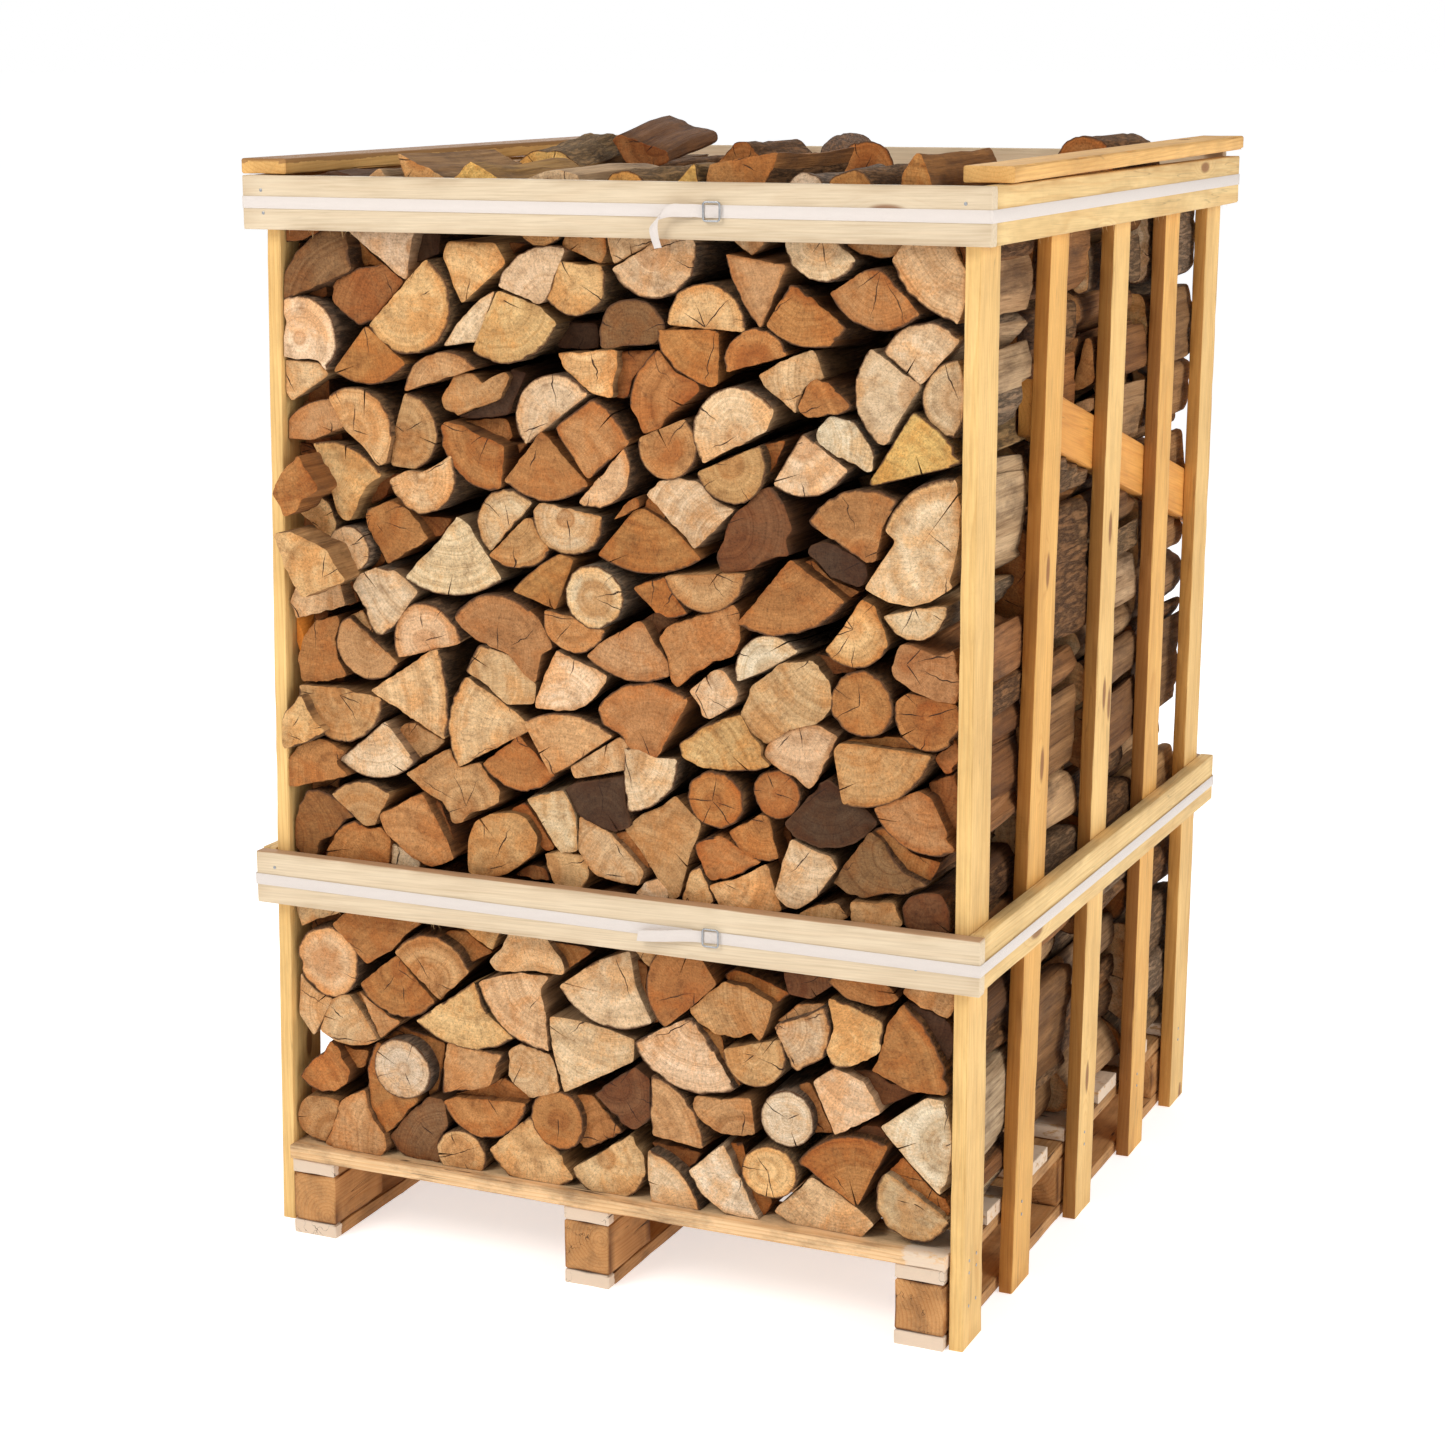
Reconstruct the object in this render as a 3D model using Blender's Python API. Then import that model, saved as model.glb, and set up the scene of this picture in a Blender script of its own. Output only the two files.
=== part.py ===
# A slatted crate of split firewood on a small pallet, held by two straps.
# Metres, +Z up, +X to the right, -Y to the front. The origin is at the middle of the foot.
# Each piece is one object; the wood between the slats is four stacked rows of logs.

import math

import bmesh
import bpy
from mathutils import Vector

# Driving dimensions
BOARD = 0.022
GAP = 0.0004
EDGE = 0.0012
FRONT = -0.609
BACK_TOP = FRONT + 1.245
BACK_MID = FRONT + 1.211
RIGHT = 0.5715
RIGHT_IN = RIGHT - 2 * BOARD
LEFT_FOOT = -0.5695
LEFT_HEAD = -0.5315
HEAD = 1.536

# Rails
RAIL_H = 0.0765
TOP_RAIL_Z = 1.5355
BACK_RAIL_RISE = 0.009
MID_RAIL_H = 0.0785
MID_RAIL_Z = 0.535
MID_RAIL_DROP = 0.0105
FRONT_MID_H = 0.0800
FRONT_TOP_LEFT = -0.5555
FRONT_MID_LEFT = -0.5775

# Slats, as the place of the front edge at the floor and at HEAD
SLAT_W = 0.082
SLAT_TOP = 1.605
SLAT_FEET = (0.022, 0.236, 0.544, 0.834, 1.086)
SLAT_HEADS = (0.022, 0.318, 0.619, 0.892, 1.138)
FRONT_LEFT_FOOT = 0.016

# Pallet
RUNNER_W = 0.075
RUNNER_X = (-0.505, -0.0355, 0.4865)
RUNNER_Y = (0.013, 1.200)
BLOCK_H = 0.078
BLOCK_L = 0.140
BLOCK_Y = (0.014, 0.532, 1.058)
DECK_X = (-0.544, 0.5255)
DECK_W = 0.100
DECK_Y = (0.009, 1.200)
DECK_BOARDS = 7
DECK_TOP = 0.144

# Braces, as the height of the middle of the board at two depths
BRACE_H = 0.082
RIGHT_BRACE = ((0.316, 1.2945), (1.205, 1.0425))
LEFT_BRACE = ((0.106, 0.965), (1.205, 1.300))

# Straps and buckles
STRAP_T = 0.0009
STRAP_H = 0.017
STRAP_Z = (1.574, 0.569)
STRAP_R = 0.0025
BUCKLE_X = (0.1815, 0.1755)
BUCKLE_W = 0.024
BUCKLE_H = 0.025
WIRE = 0.0028

# Rows of logs
ROW_FRONT = 0.030
ROW_PITCH = 0.289
LOG_L = 0.284
ROWS = 4
ROW_CLEAR = 0.0008

SOFTWOOD = (0.72, 0.47, 0.20)
PLANED = (0.78, 0.63, 0.42)
PALLET_WOOD = (0.55, 0.36, 0.18)
SPLIT_WOOD = (0.52, 0.30, 0.13)
BARK = (0.16, 0.10, 0.06)
WHITE = (0.82, 0.82, 0.84)
STEEL = (0.60, 0.62, 0.64)


def depth(distance):
    """World Y of a point this far behind the front of the front rails."""
    return FRONT + distance


def left_face(height):
    """World X of the outer face of the left slats, which lean outwards at the foot."""
    return LEFT_FOOT + (LEFT_HEAD - LEFT_FOOT) * height / HEAD


def left_in(height):
    return left_face(height) + BOARD


def slat_front(index, height):
    """World Y of the front edge of a slat at this height."""
    foot = SLAT_FEET[index]
    return depth(foot + (SLAT_HEADS[index] - foot) * height / HEAD)


def clear_scene():
    for obj in list(bpy.data.objects):
        bpy.data.objects.remove(obj, do_unlink=True)


def material(name, colour, roughness, metallic=0.0):
    mat = bpy.data.materials.new(name)
    mat.use_nodes = True
    shader = mat.node_tree.nodes["Principled BSDF"]
    shader.inputs["Base Color"].default_value = (*colour, 1.0)
    shader.inputs["Roughness"].default_value = roughness
    shader.inputs["Metallic"].default_value = metallic
    mat.diffuse_color = (*colour, 1.0)
    return mat


def finish(name, bm, colour, roughness=0.7, metallic=0.0):
    """Turns a closed bmesh into a named object with a material of its own."""
    bmesh.ops.recalc_face_normals(bm, faces=bm.faces[:])
    mesh = bpy.data.meshes.new(name)
    bm.to_mesh(mesh)
    bm.free()
    mesh.materials.append(material(name, colour, roughness, metallic))
    obj = bpy.data.objects.new(name, mesh)
    bpy.context.scene.collection.objects.link(obj)
    return obj


def hexahedron(name, low, high, colour, edge=EDGE):
    """A board between two quads of four points each, both in the same order."""
    bm = bmesh.new()
    ends = [[bm.verts.new(point) for point in quad] for quad in (low, high)]
    bm.faces.new(ends[0])
    bm.faces.new(ends[1])
    for i in range(4):
        j = (i + 1) % 4
        bm.faces.new((ends[0][i], ends[0][j], ends[1][j], ends[1][i]))
    if edge:
        bmesh.ops.recalc_face_normals(bm, faces=bm.faces[:])
        bmesh.ops.bevel(bm, geom=bm.edges[:], offset=edge, segments=1, affect="EDGES")
    return finish(name, bm, colour)


def box(name, x, y, z, colour, edge=EDGE):
    """A straight board; x, y and z are (low, high)."""
    corners = [(x[0], y[0]), (x[1], y[0]), (x[1], y[1]), (x[0], y[1])]
    low = [(px, py, z[0]) for px, py in corners]
    high = [(px, py, z[1]) for px, py in corners]
    return hexahedron(name, low, high, colour, edge)


def pallet():
    runner_y = (depth(RUNNER_Y[0]), depth(RUNNER_Y[1]))
    for side, x in zip(("left", "middle", "right"), RUNNER_X):
        span = (x - RUNNER_W / 2, x + RUNNER_W / 2)
        box(f"pallet_runner_{side}", span, runner_y, (0, BOARD - GAP), PALLET_WOOD)
        for place, y in zip(("front", "centre", "rear"), BLOCK_Y):
            ends = (depth(y), depth(y + BLOCK_L))
            box(f"pallet_block_{side}_{place}", span, ends, (BOARD, BOARD + BLOCK_H - GAP), PALLET_WOOD)
        bearer = (BOARD + BLOCK_H, 2 * BOARD + BLOCK_H - GAP)
        box(f"pallet_bearer_{side}", span, runner_y, bearer, PALLET_WOOD)
    pitch = (DECK_Y[1] - DECK_Y[0] - DECK_W) / (DECK_BOARDS - 1)
    for i in range(DECK_BOARDS):
        start = DECK_Y[0] + pitch * i
        ends = (depth(start), depth(start + DECK_W))
        box(f"pallet_deck_board_{i + 1}", DECK_X, ends, (DECK_TOP - BOARD, DECK_TOP), PALLET_WOOD)


def slats():
    for i in range(len(SLAT_FEET)):
        quads = []
        for z in (0.0, SLAT_TOP):
            y = slat_front(i, z)
            x = (RIGHT_IN + GAP, RIGHT_IN + BOARD - GAP)
            quads.append([(x[0], y + GAP, z), (x[1], y + GAP, z), (x[1], y + SLAT_W, z), (x[0], y + SLAT_W, z)])
        hexahedron(f"slat_right_{i + 1}", *quads, SOFTWOOD)
        quads = []
        for z in (FRONT_LEFT_FOOT if i == 0 else 0.0, SLAT_TOP):
            y = slat_front(i, z)
            x = (left_face(z), left_in(z) - GAP)
            quads.append([(x[0], y + GAP, z), (x[1], y + GAP, z), (x[1], y + SLAT_W, z), (x[0], y + SLAT_W, z)])
        hexahedron(f"slat_left_{i + 1}", *quads, SOFTWOOD)


def rails():
    top = (TOP_RAIL_Z, TOP_RAIL_Z + RAIL_H)
    front = (depth(0), depth(BOARD) - GAP)
    side = (depth(BOARD), BACK_TOP)
    top_in = left_face(TOP_RAIL_Z + RAIL_H)
    left_rail = (left_face(TOP_RAIL_Z) - BOARD, left_face(TOP_RAIL_Z) - GAP)
    box("rail_front_top", (FRONT_TOP_LEFT, RIGHT), front, top, PLANED)
    box("rail_right_top", (RIGHT - BOARD, RIGHT), side, top, SOFTWOOD)
    box("rail_left_top", left_rail, side, top, SOFTWOOD)
    raised = (top[0] + BACK_RAIL_RISE, top[1] + BACK_RAIL_RISE)
    box("rail_back_top", (top_in, RIGHT - BOARD - GAP), (BACK_TOP - BOARD, BACK_TOP), raised, PLANED)

    mid_left = left_face(MID_RAIL_Z) - GAP
    level = (MID_RAIL_Z - 0.003, MID_RAIL_Z - 0.003 + FRONT_MID_H)
    box("rail_front_mid", (FRONT_MID_LEFT, RIGHT + 0.001), front, level, PLANED)
    for name, x in (("right", (RIGHT - BOARD, RIGHT)), ("left", (mid_left - BOARD, mid_left))):
        quads = []
        for y, z in ((depth(BOARD), MID_RAIL_Z), (BACK_MID, MID_RAIL_Z - MID_RAIL_DROP)):
            h = z + MID_RAIL_H
            quads.append([(x[0], y, z), (x[1], y, z), (x[1], y, h), (x[0], y, h)])
        hexahedron(f"rail_{name}_mid", *quads, SOFTWOOD)
    back = (MID_RAIL_Z - MID_RAIL_DROP, MID_RAIL_Z - MID_RAIL_DROP + MID_RAIL_H)
    inside = (mid_left + GAP, RIGHT - BOARD - GAP)
    box("rail_back_mid", inside, (BACK_MID - BOARD, BACK_MID), back, PLANED)


def top_boards():
    """The two flat boards that lie along the side rails; both rise to the higher back rail."""
    for name, x, y, z in (
        ("right", (0.5075, 0.579), (0.067, 1.239), (1.6135, 1.6225)),
        ("left", (-0.5685, -0.4935), (0.019, 1.171), (1.6128, 1.6172)),
    ):
        quads = []
        for distance, low in zip(y, z):
            ends = (low, low + BOARD)
            place = depth(distance)
            quads.append([(x[0], place, ends[0]), (x[1], place, ends[0]), (x[1], place, ends[1]), (x[0], place, ends[1])])
        hexahedron(f"top_board_{name}", *quads, SOFTWOOD)


def braces():
    half = BRACE_H / 2
    for name, line in (("right", RIGHT_BRACE), ("left", LEFT_BRACE)):
        quads = []
        for distance, middle in line:
            y = depth(distance)
            low, high = middle - half, middle + half
            if name == "right":
                outer = (RIGHT_IN, RIGHT_IN)
                inner = (RIGHT_IN - BOARD, RIGHT_IN - BOARD)
            else:
                outer = (left_in(low), left_in(high))
                inner = (outer[0] + BOARD, outer[1] + BOARD)
            quads.append([(outer[0], y, low), (inner[0], y, low), (inner[1], y, high), (outer[1], y, high)])
        hexahedron(f"brace_{name}", *quads, SOFTWOOD)


def brace_span(line, near, far):
    """Lowest and highest point of a brace between two depths, with room to spare."""
    (y0, z0), (y1, z1) = line
    heights = [z0 + (z1 - z0) * (y - y0) / (y1 - y0) for y in (max(near, y0), far)]
    room = BRACE_H / 2 + 0.004
    return min(heights) - room, max(heights) + room


# Tops of the four rows, as (x, height) from left to right
ROW_TOPS = (
    (
        (-0.490, 1.600), (-0.405, 1.608), (-0.352, 1.625), (-0.325, 1.644), (-0.250, 1.608),
        (-0.205, 1.634), (-0.150, 1.606), (-0.077, 1.624), (-0.020, 1.602), (0.040, 1.624),
        (0.085, 1.604), (0.132, 1.635), (0.158, 1.632), (0.260, 1.652), (0.275, 1.612),
        (0.300, 1.625), (0.330, 1.606), (0.364, 1.630), (0.415, 1.604), (0.452, 1.652),
        (0.480, 1.608), (0.500, 1.600),
    ),
    (
        (-0.490, 1.600), (-0.400, 1.612), (-0.260, 1.586), (-0.215, 1.572), (-0.120, 1.566),
        (0.000, 1.590), (0.100, 1.612), (0.260, 1.606), (0.330, 1.600), (0.420, 1.612), (0.500, 1.592),
    ),
    (
        (-0.490, 1.598), (-0.420, 1.616), (-0.300, 1.596), (-0.160, 1.588), (-0.080, 1.590),
        (0.000, 1.560), (0.060, 1.556), (0.240, 1.560), (0.300, 1.592), (0.360, 1.596), (0.395, 1.560), (0.505, 1.556),
    ),
    (
        (-0.490, 1.596), (-0.380, 1.612), (-0.280, 1.580), (-0.140, 1.568), (-0.040, 1.564),
        (0.100, 1.564), (0.240, 1.590), (0.330, 1.560), (0.395, 1.552), (0.505, 1.552),
    ),
)

# Two logs at the left post stand out past the others
PROUD_FRONT = -0.028
PROUD_LOGS = (
    ((-0.5165, 1.156), (-0.490, 1.138), (-0.462, 1.156), (-0.468, 1.190), (-0.505, 1.214), (-0.5165, 1.196)),
    ((-0.5190, 1.108), (-0.505, 1.080), (-0.470, 1.080), (-0.448, 1.092), (-0.486, 1.130), (-0.5175, 1.136)),
)
PROUD_SPAN = (1.077, 1.222)
PROUD_X = -0.440


def prism(name, outline, near, far, colour):
    """A log: an outline of (across, up) points carried from the near to the far end."""
    near, far = Vector(near), Vector(far)
    along = (far - near).normalized()
    across = along.cross(Vector((0, 0, 1))).normalized()
    up = across.cross(along)
    bm = bmesh.new()
    ends = [[bm.verts.new(end + across * a + up * b) for a, b in outline] for end in (near, far)]
    bm.faces.new(ends[0])
    bm.faces.new(ends[1])
    for i in range(len(outline)):
        j = (i + 1) % len(outline)
        bm.faces.new((ends[0][i], ends[0][j], ends[1][j], ends[1][i]))
    return finish(name, bm, colour, 0.85)


def row_outline(index, near, far):
    """The section of a row: deck, right slats with the brace's notch, top, left slats with theirs."""
    right = RIGHT_IN - ROW_CLEAR
    base = DECK_TOP + GAP
    points = [(left_in(base) + ROW_CLEAR, base), (right, base)]
    if index > 0:
        low, high = brace_span(RIGHT_BRACE, near, far)
        notch = right - BOARD - ROW_CLEAR
        points += [(right, low), (notch, low), (notch, high), (right, high)]
    points += [(right, 1.588)]
    points += reversed(ROW_TOPS[index])
    points += [(left_in(1.588) + ROW_CLEAR, 1.588)]
    if index == 0:
        low, high = PROUD_SPAN
        points += [(left_in(high) + ROW_CLEAR, high), (PROUD_X, high), (PROUD_X, low), (left_in(low) + ROW_CLEAR, low)]
    low, high = brace_span(LEFT_BRACE, near, far)
    for height, inset in ((high, 0), (high, BOARD), (low, BOARD), (low, 0)):
        points.append((left_in(height) + ROW_CLEAR + inset, height))
    return points


def log_rows():
    for i in range(ROWS):
        near = ROW_FRONT + ROW_PITCH * i
        far = near + LOG_L
        outline = row_outline(i, near, far)
        prism(f"log_row_{i + 1}", outline, (0, depth(near), 0), (0, depth(far), 0), SPLIT_WOOD)
    for i, outline in enumerate(PROUD_LOGS):
        ends = [(0, depth(PROUD_FRONT + shift), 0) for shift in (0, LOG_L)]
        prism(f"log_proud_{i + 1}", outline, *ends, SPLIT_WOOD)


def ellipse(wide, high, sides=12):
    turns = [2 * math.pi * i / sides for i in range(sides)]
    return [(wide * math.cos(turn), high * math.sin(turn)) for turn in turns]


def top_logs():
    """Five logs that lie loose on the rows."""
    slab = [(0.044, -0.006), (0.040, 0.010), (-0.036, 0.036), (-0.046, 0.026), (-0.022, -0.012), (0.012, -0.018)]
    prism("log_top_tilted", slab, (-0.136, depth(0.440), 1.626), (-0.182, depth(0.716), 1.648), SPLIT_WOOD)
    half = [(0.060, -0.016), (0.052, 0.004), (0.020, 0.026), (-0.020, 0.028), (-0.052, 0.008), (-0.060, -0.016)]
    prism("log_top_left", half, (-0.240, depth(0.336), 1.612), (-0.288, depth(0.610), 1.630), BARK)
    prism("log_top_middle", ellipse(0.046, 0.042), (0.150, depth(0.632), 1.6065), (0.020, depth(0.884), 1.6115), BARK)
    prism("log_top_right", ellipse(0.052, 0.046), (0.452, depth(0.770), 1.6075), (0.446, depth(1.052), 1.6035), BARK)
    ridge = [(0.048, -0.012), (0.010, 0.030), (-0.010, 0.030), (-0.050, -0.012)]
    prism("log_top_back", ridge, (-0.175, depth(0.900), 1.608), (-0.198, depth(1.182), 1.606), BARK)


def ribbon(name, path, colour):
    """A strap: (centre, up, half height) at each point, with the flat side square to the path."""
    bm = bmesh.new()
    rings = []
    for i, (centre, up, half) in enumerate(path):
        after = Vector(path[min(i + 1, len(path) - 1)][0])
        before = Vector(path[max(i - 1, 0)][0])
        up = Vector(up).normalized()
        side = (after - before).cross(up).normalized() * STRAP_T / 2
        centre = Vector(centre)
        corners = (centre - side - up * half, centre + side - up * half, centre + side + up * half, centre - side + up * half)
        rings.append([bm.verts.new(corner) for corner in corners])
    bm.faces.new(rings[0])
    bm.faces.new(rings[-1])
    for a, b in zip(rings, rings[1:]):
        for i in range(4):
            j = (i + 1) % 4
            bm.faces.new((a[i], a[j], b[j], b[i]))
    return finish(name, bm, colour, 0.45)


def corner(x, y, turn, radius=STRAP_R, steps=3):
    """Points round a corner of the crate; turn is the angle in quarter turns at its start."""
    for i in range(steps + 1):
        angle = (turn + i / steps) * math.pi / 2
        yield x + radius * math.cos(angle), y + radius * math.sin(angle)


def strap_loop(left, right, back, buckle_x, lap):
    """Plan of a strap from its tail's root, round the crate anticlockwise, to its free end."""
    out = STRAP_T / 2 + GAP
    inset = STRAP_R - out
    yield buckle_x - 0.012, FRONT - out - 2 * lap
    yield buckle_x + 0.012, FRONT - out
    for x, y, turn in (
        (right - inset, FRONT + inset, -1),
        (right - inset, back - inset, 0),
        (left + inset, back - inset, 1),
        (left + inset, FRONT + inset, 2),
    ):
        yield from corner(x, y, turn)
    yield buckle_x - 0.030, FRONT - out


def straps():
    half = STRAP_H / 2
    plans = (
        ("top", FRONT_TOP_LEFT, RIGHT, BACK_TOP, BUCKLE_X[0], STRAP_Z[0], 0.0),
        ("mid", left_face(MID_RAIL_Z) - GAP - BOARD, RIGHT + 0.001, BACK_MID, BUCKLE_X[1], STRAP_Z[1], MID_RAIL_DROP),
    )
    for name, left, right, back, buckle_x, z, drop in plans:
        path = []
        for x, y in strap_loop(left, right, back, buckle_x, STRAP_T + GAP):
            path.append(((x, y, z - drop * (y - FRONT) / (back - FRONT)), (0, 0, 1), half))
        tail = TAILS[name]
        path = [((buckle_x + x, FRONT + y, z + h), up, width) for (x, y, h), up, width in tail] + path
        ribbon(f"strap_{name}", path, WHITE)
        buckle(f"buckle_{name}", buckle_x, z)


# Free end of each strap from its tip to the buckle: place from the buckle, up direction, half height
TAILS = {
    "top": (
        ((-0.092, -0.0150, -0.052), (1, 0, 0.15), 0.0075),
        ((-0.095, -0.0170, -0.034), (1, 0, 0.10), 0.0080),
        ((-0.096, -0.0175, -0.016), (0.9, 0, 0.44), 0.0080),
        ((-0.088, -0.0165, -0.004), (0.5, 0, 0.87), 0.0082),
        ((-0.070, -0.0130, 0.0005), (0.15, 0, 1), 0.0085),
        ((-0.048, -0.0090, 0.001), (0, 0, 1), 0.0085),
        ((-0.028, -0.0055, 0.001), (0, 0, 1), 0.0085),
    ),
    "mid": (
        ((-0.116, -0.0120, -0.012), (0.25, 0, 1), 0.0080),
        ((-0.095, -0.0120, -0.008), (0.15, 0, 1), 0.0085),
        ((-0.070, -0.0105, -0.004), (0.1, 0, 1), 0.0085),
        ((-0.045, -0.0080, -0.001), (0, 0, 1), 0.0085),
        ((-0.026, -0.0050, 0.0), (0, 0, 1), 0.0085),
    ),
}


def buckle(name, x, z, sides=8):
    """A square wire buckle: a round wire carried along a rounded square."""
    radius = WIRE / 2
    bend = 0.004
    y = FRONT - 3 * STRAP_T - 2 * GAP - radius - 0.0004
    half_w, half_h = BUCKLE_W / 2 - bend, BUCKLE_H / 2 - bend
    bm = bmesh.new()
    rings = []
    for px, pz, turn in ((half_w, -half_h, -1), (half_w, half_h, 0), (-half_w, half_h, 1), (-half_w, -half_h, 2)):
        for cx, cz in corner(px, pz, turn, bend):
            out = Vector((cx - px, 0, cz - pz)).normalized()
            centre = Vector((x + cx, y, z + cz))
            ring = []
            for i in range(sides):
                angle = 2 * math.pi * i / sides
                ring.append(bm.verts.new(centre + out * radius * math.cos(angle) + Vector((0, radius * math.sin(angle), 0))))
            rings.append(ring)
    for a, b in zip(rings, rings[1:] + rings[:1]):
        for i in range(sides):
            j = (i + 1) % sides
            bm.faces.new((a[i], a[j], b[j], b[i]))
    return finish(name, bm, STEEL, 0.35, 1.0)


clear_scene()
pallet()
slats()
rails()
top_boards()
braces()
log_rows()
top_logs()
straps()
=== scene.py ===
# %% [markdown]
# A crate of firewood: four rows of split logs on a small pallet, held by leaning slats, rails and two
# straps. The frame holds every solid piece at its real size. This lesson dresses each one: logs with ringed
# ends, split faces and bark, sawn boards with knots and worn edges, corded straps, wire buckles and nails.

# %% The frame and its size
import math

import bpy
import numpy as np
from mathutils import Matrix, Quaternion, Vector


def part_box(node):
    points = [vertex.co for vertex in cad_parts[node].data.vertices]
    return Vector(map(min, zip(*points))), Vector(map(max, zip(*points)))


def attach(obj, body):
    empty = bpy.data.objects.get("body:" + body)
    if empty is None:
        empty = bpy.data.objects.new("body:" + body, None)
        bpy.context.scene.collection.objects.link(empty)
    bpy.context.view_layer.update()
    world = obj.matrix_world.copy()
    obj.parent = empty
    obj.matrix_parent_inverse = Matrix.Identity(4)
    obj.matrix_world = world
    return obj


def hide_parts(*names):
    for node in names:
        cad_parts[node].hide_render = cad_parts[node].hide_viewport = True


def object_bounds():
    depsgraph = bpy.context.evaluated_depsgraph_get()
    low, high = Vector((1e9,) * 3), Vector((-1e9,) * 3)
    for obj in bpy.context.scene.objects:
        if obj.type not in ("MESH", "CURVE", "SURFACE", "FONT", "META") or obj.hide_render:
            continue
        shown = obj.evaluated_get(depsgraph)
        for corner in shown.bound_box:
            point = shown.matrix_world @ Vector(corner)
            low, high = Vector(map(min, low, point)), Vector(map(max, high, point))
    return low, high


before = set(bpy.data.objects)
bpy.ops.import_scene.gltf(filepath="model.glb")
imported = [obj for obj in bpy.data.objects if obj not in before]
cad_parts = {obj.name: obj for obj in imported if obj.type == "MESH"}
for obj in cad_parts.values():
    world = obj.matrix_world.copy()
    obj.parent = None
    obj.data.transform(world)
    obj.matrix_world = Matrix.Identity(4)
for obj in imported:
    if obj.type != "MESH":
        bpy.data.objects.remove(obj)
cad_low, cad_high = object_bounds()
print("frame nodes", len(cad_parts), "size", [round(side, 3) for side in cad_high - cad_low])

# %% [markdown]
# The camera stands a little right of the front and above the top, as in a product picture.
# A long lens keeps the posts nearly parallel. Large soft lamps and a pale floor give open shade,
# so that the only dark places are the gaps between the logs.

# %% Camera
EYE = Vector((1.79167, -4.15567, 1.77405))
AIM = Vector((0.19305, -0.60900, 0.88005))
ROLL = math.radians(-0.18)
LENS = 72.204
SENSOR = 36.0


def show(name, data):
    """Puts a camera, lamp or mesh into the scene as an object at the origin."""
    made = bpy.data.objects.new(name, data)
    bpy.context.scene.collection.objects.link(made)
    return made


camera_data = bpy.data.cameras.new("camera")
camera_data.lens = LENS
camera_data.sensor_width = SENSOR
camera = show("camera", camera_data)
camera.rotation_mode = "QUATERNION"
camera.location = EYE
camera.rotation_quaternion = (AIM - EYE).to_track_quat("-Z", "Y") @ Quaternion((0, 0, 1), ROLL)
bpy.context.scene.camera = camera
bpy.context.scene.view_settings.view_transform = "Standard"
print("camera to the crate", round((AIM - EYE).length, 2), "m")


# %% Lamps and sky
def soft_lamp(name, place, size, watts, colour):
    """A square lamp that faces the middle of the crate."""
    lamp = bpy.data.lights.new(name, "AREA")
    lamp.shape = "SQUARE"
    lamp.size = size
    lamp.energy = watts
    lamp.color = colour
    holder = show(name, lamp)
    holder.location = place
    middle = (cad_low + cad_high) / 2
    holder.rotation_euler = (middle - Vector(place)).to_track_quat("-Z", "Y").to_euler()


soft_lamp("key_lamp", (-1.6, -4.2, 4.2), 2.2, 122, (1.0, 0.985, 0.965))
soft_lamp("side_lamp", (4.6, -1.2, 3.0), 2.4, 88, (1.0, 0.98, 0.95))
soft_lamp("back_lamp", (-2.4, 4.4, 3.4), 2.6, 66, (1.0, 0.98, 0.96))

FILL = 0.50
world = bpy.data.worlds.new("studio")
world.use_nodes = True
sky = world.node_tree
seen = sky.nodes.new("ShaderNodeLightPath")
glow = sky.nodes.new("ShaderNodeMapRange")
glow.inputs["To Min"].default_value = FILL
sky.links.new(seen.outputs["Is Camera Ray"], glow.inputs["Value"])
sky.links.new(glow.outputs["Result"], sky.nodes["Background"].inputs["Strength"])
sky.nodes["Background"].inputs["Color"].default_value = (1.0, 1.0, 1.0, 1.0)
bpy.context.scene.world = world

# %% [markdown]
# A mesh is only arrays: points, four-sided faces and a few triangles at the poles. One helper writes them.
# Everything long here is a loft: a closed outline repeated at stations and closed at both ends by
# smaller rings round a pole. Logs, boards, straps and nails all come from that one idea.


# %% Mesh helpers
def linear(red, green, blue):
    """Screen colour 0..255 as linear light: ((c + 0.055) / 1.055) to the power 2.4."""
    shade = np.array([red, green, blue]) / 255.0
    return np.where(shade > 0.04045, ((shade + 0.055) / 1.055) ** 2.4, shade / 12.92)


def spread(*parts):
    """Numbers and arrays whose shapes fit, side by side on a new last axis."""
    return np.stack(np.broadcast_arrays(*parts), axis=-1)


def loft_faces(stations, around):
    """Quads between neighbouring rings, and triangles from the first and last ring to the two poles."""
    ring = np.arange(around)
    after = np.roll(ring, -1)
    start = np.arange(stations - 1)[:, None] * around
    quads = spread(start + ring, start + around + ring, start + around + after, start + after)
    near, far = stations * around, stations * around + 1
    last = (stations - 1) * around
    fans = np.concatenate([spread(near, ring, after), spread(far, last + after, last + ring)])
    return quads.reshape(-1, 4), fans


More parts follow.
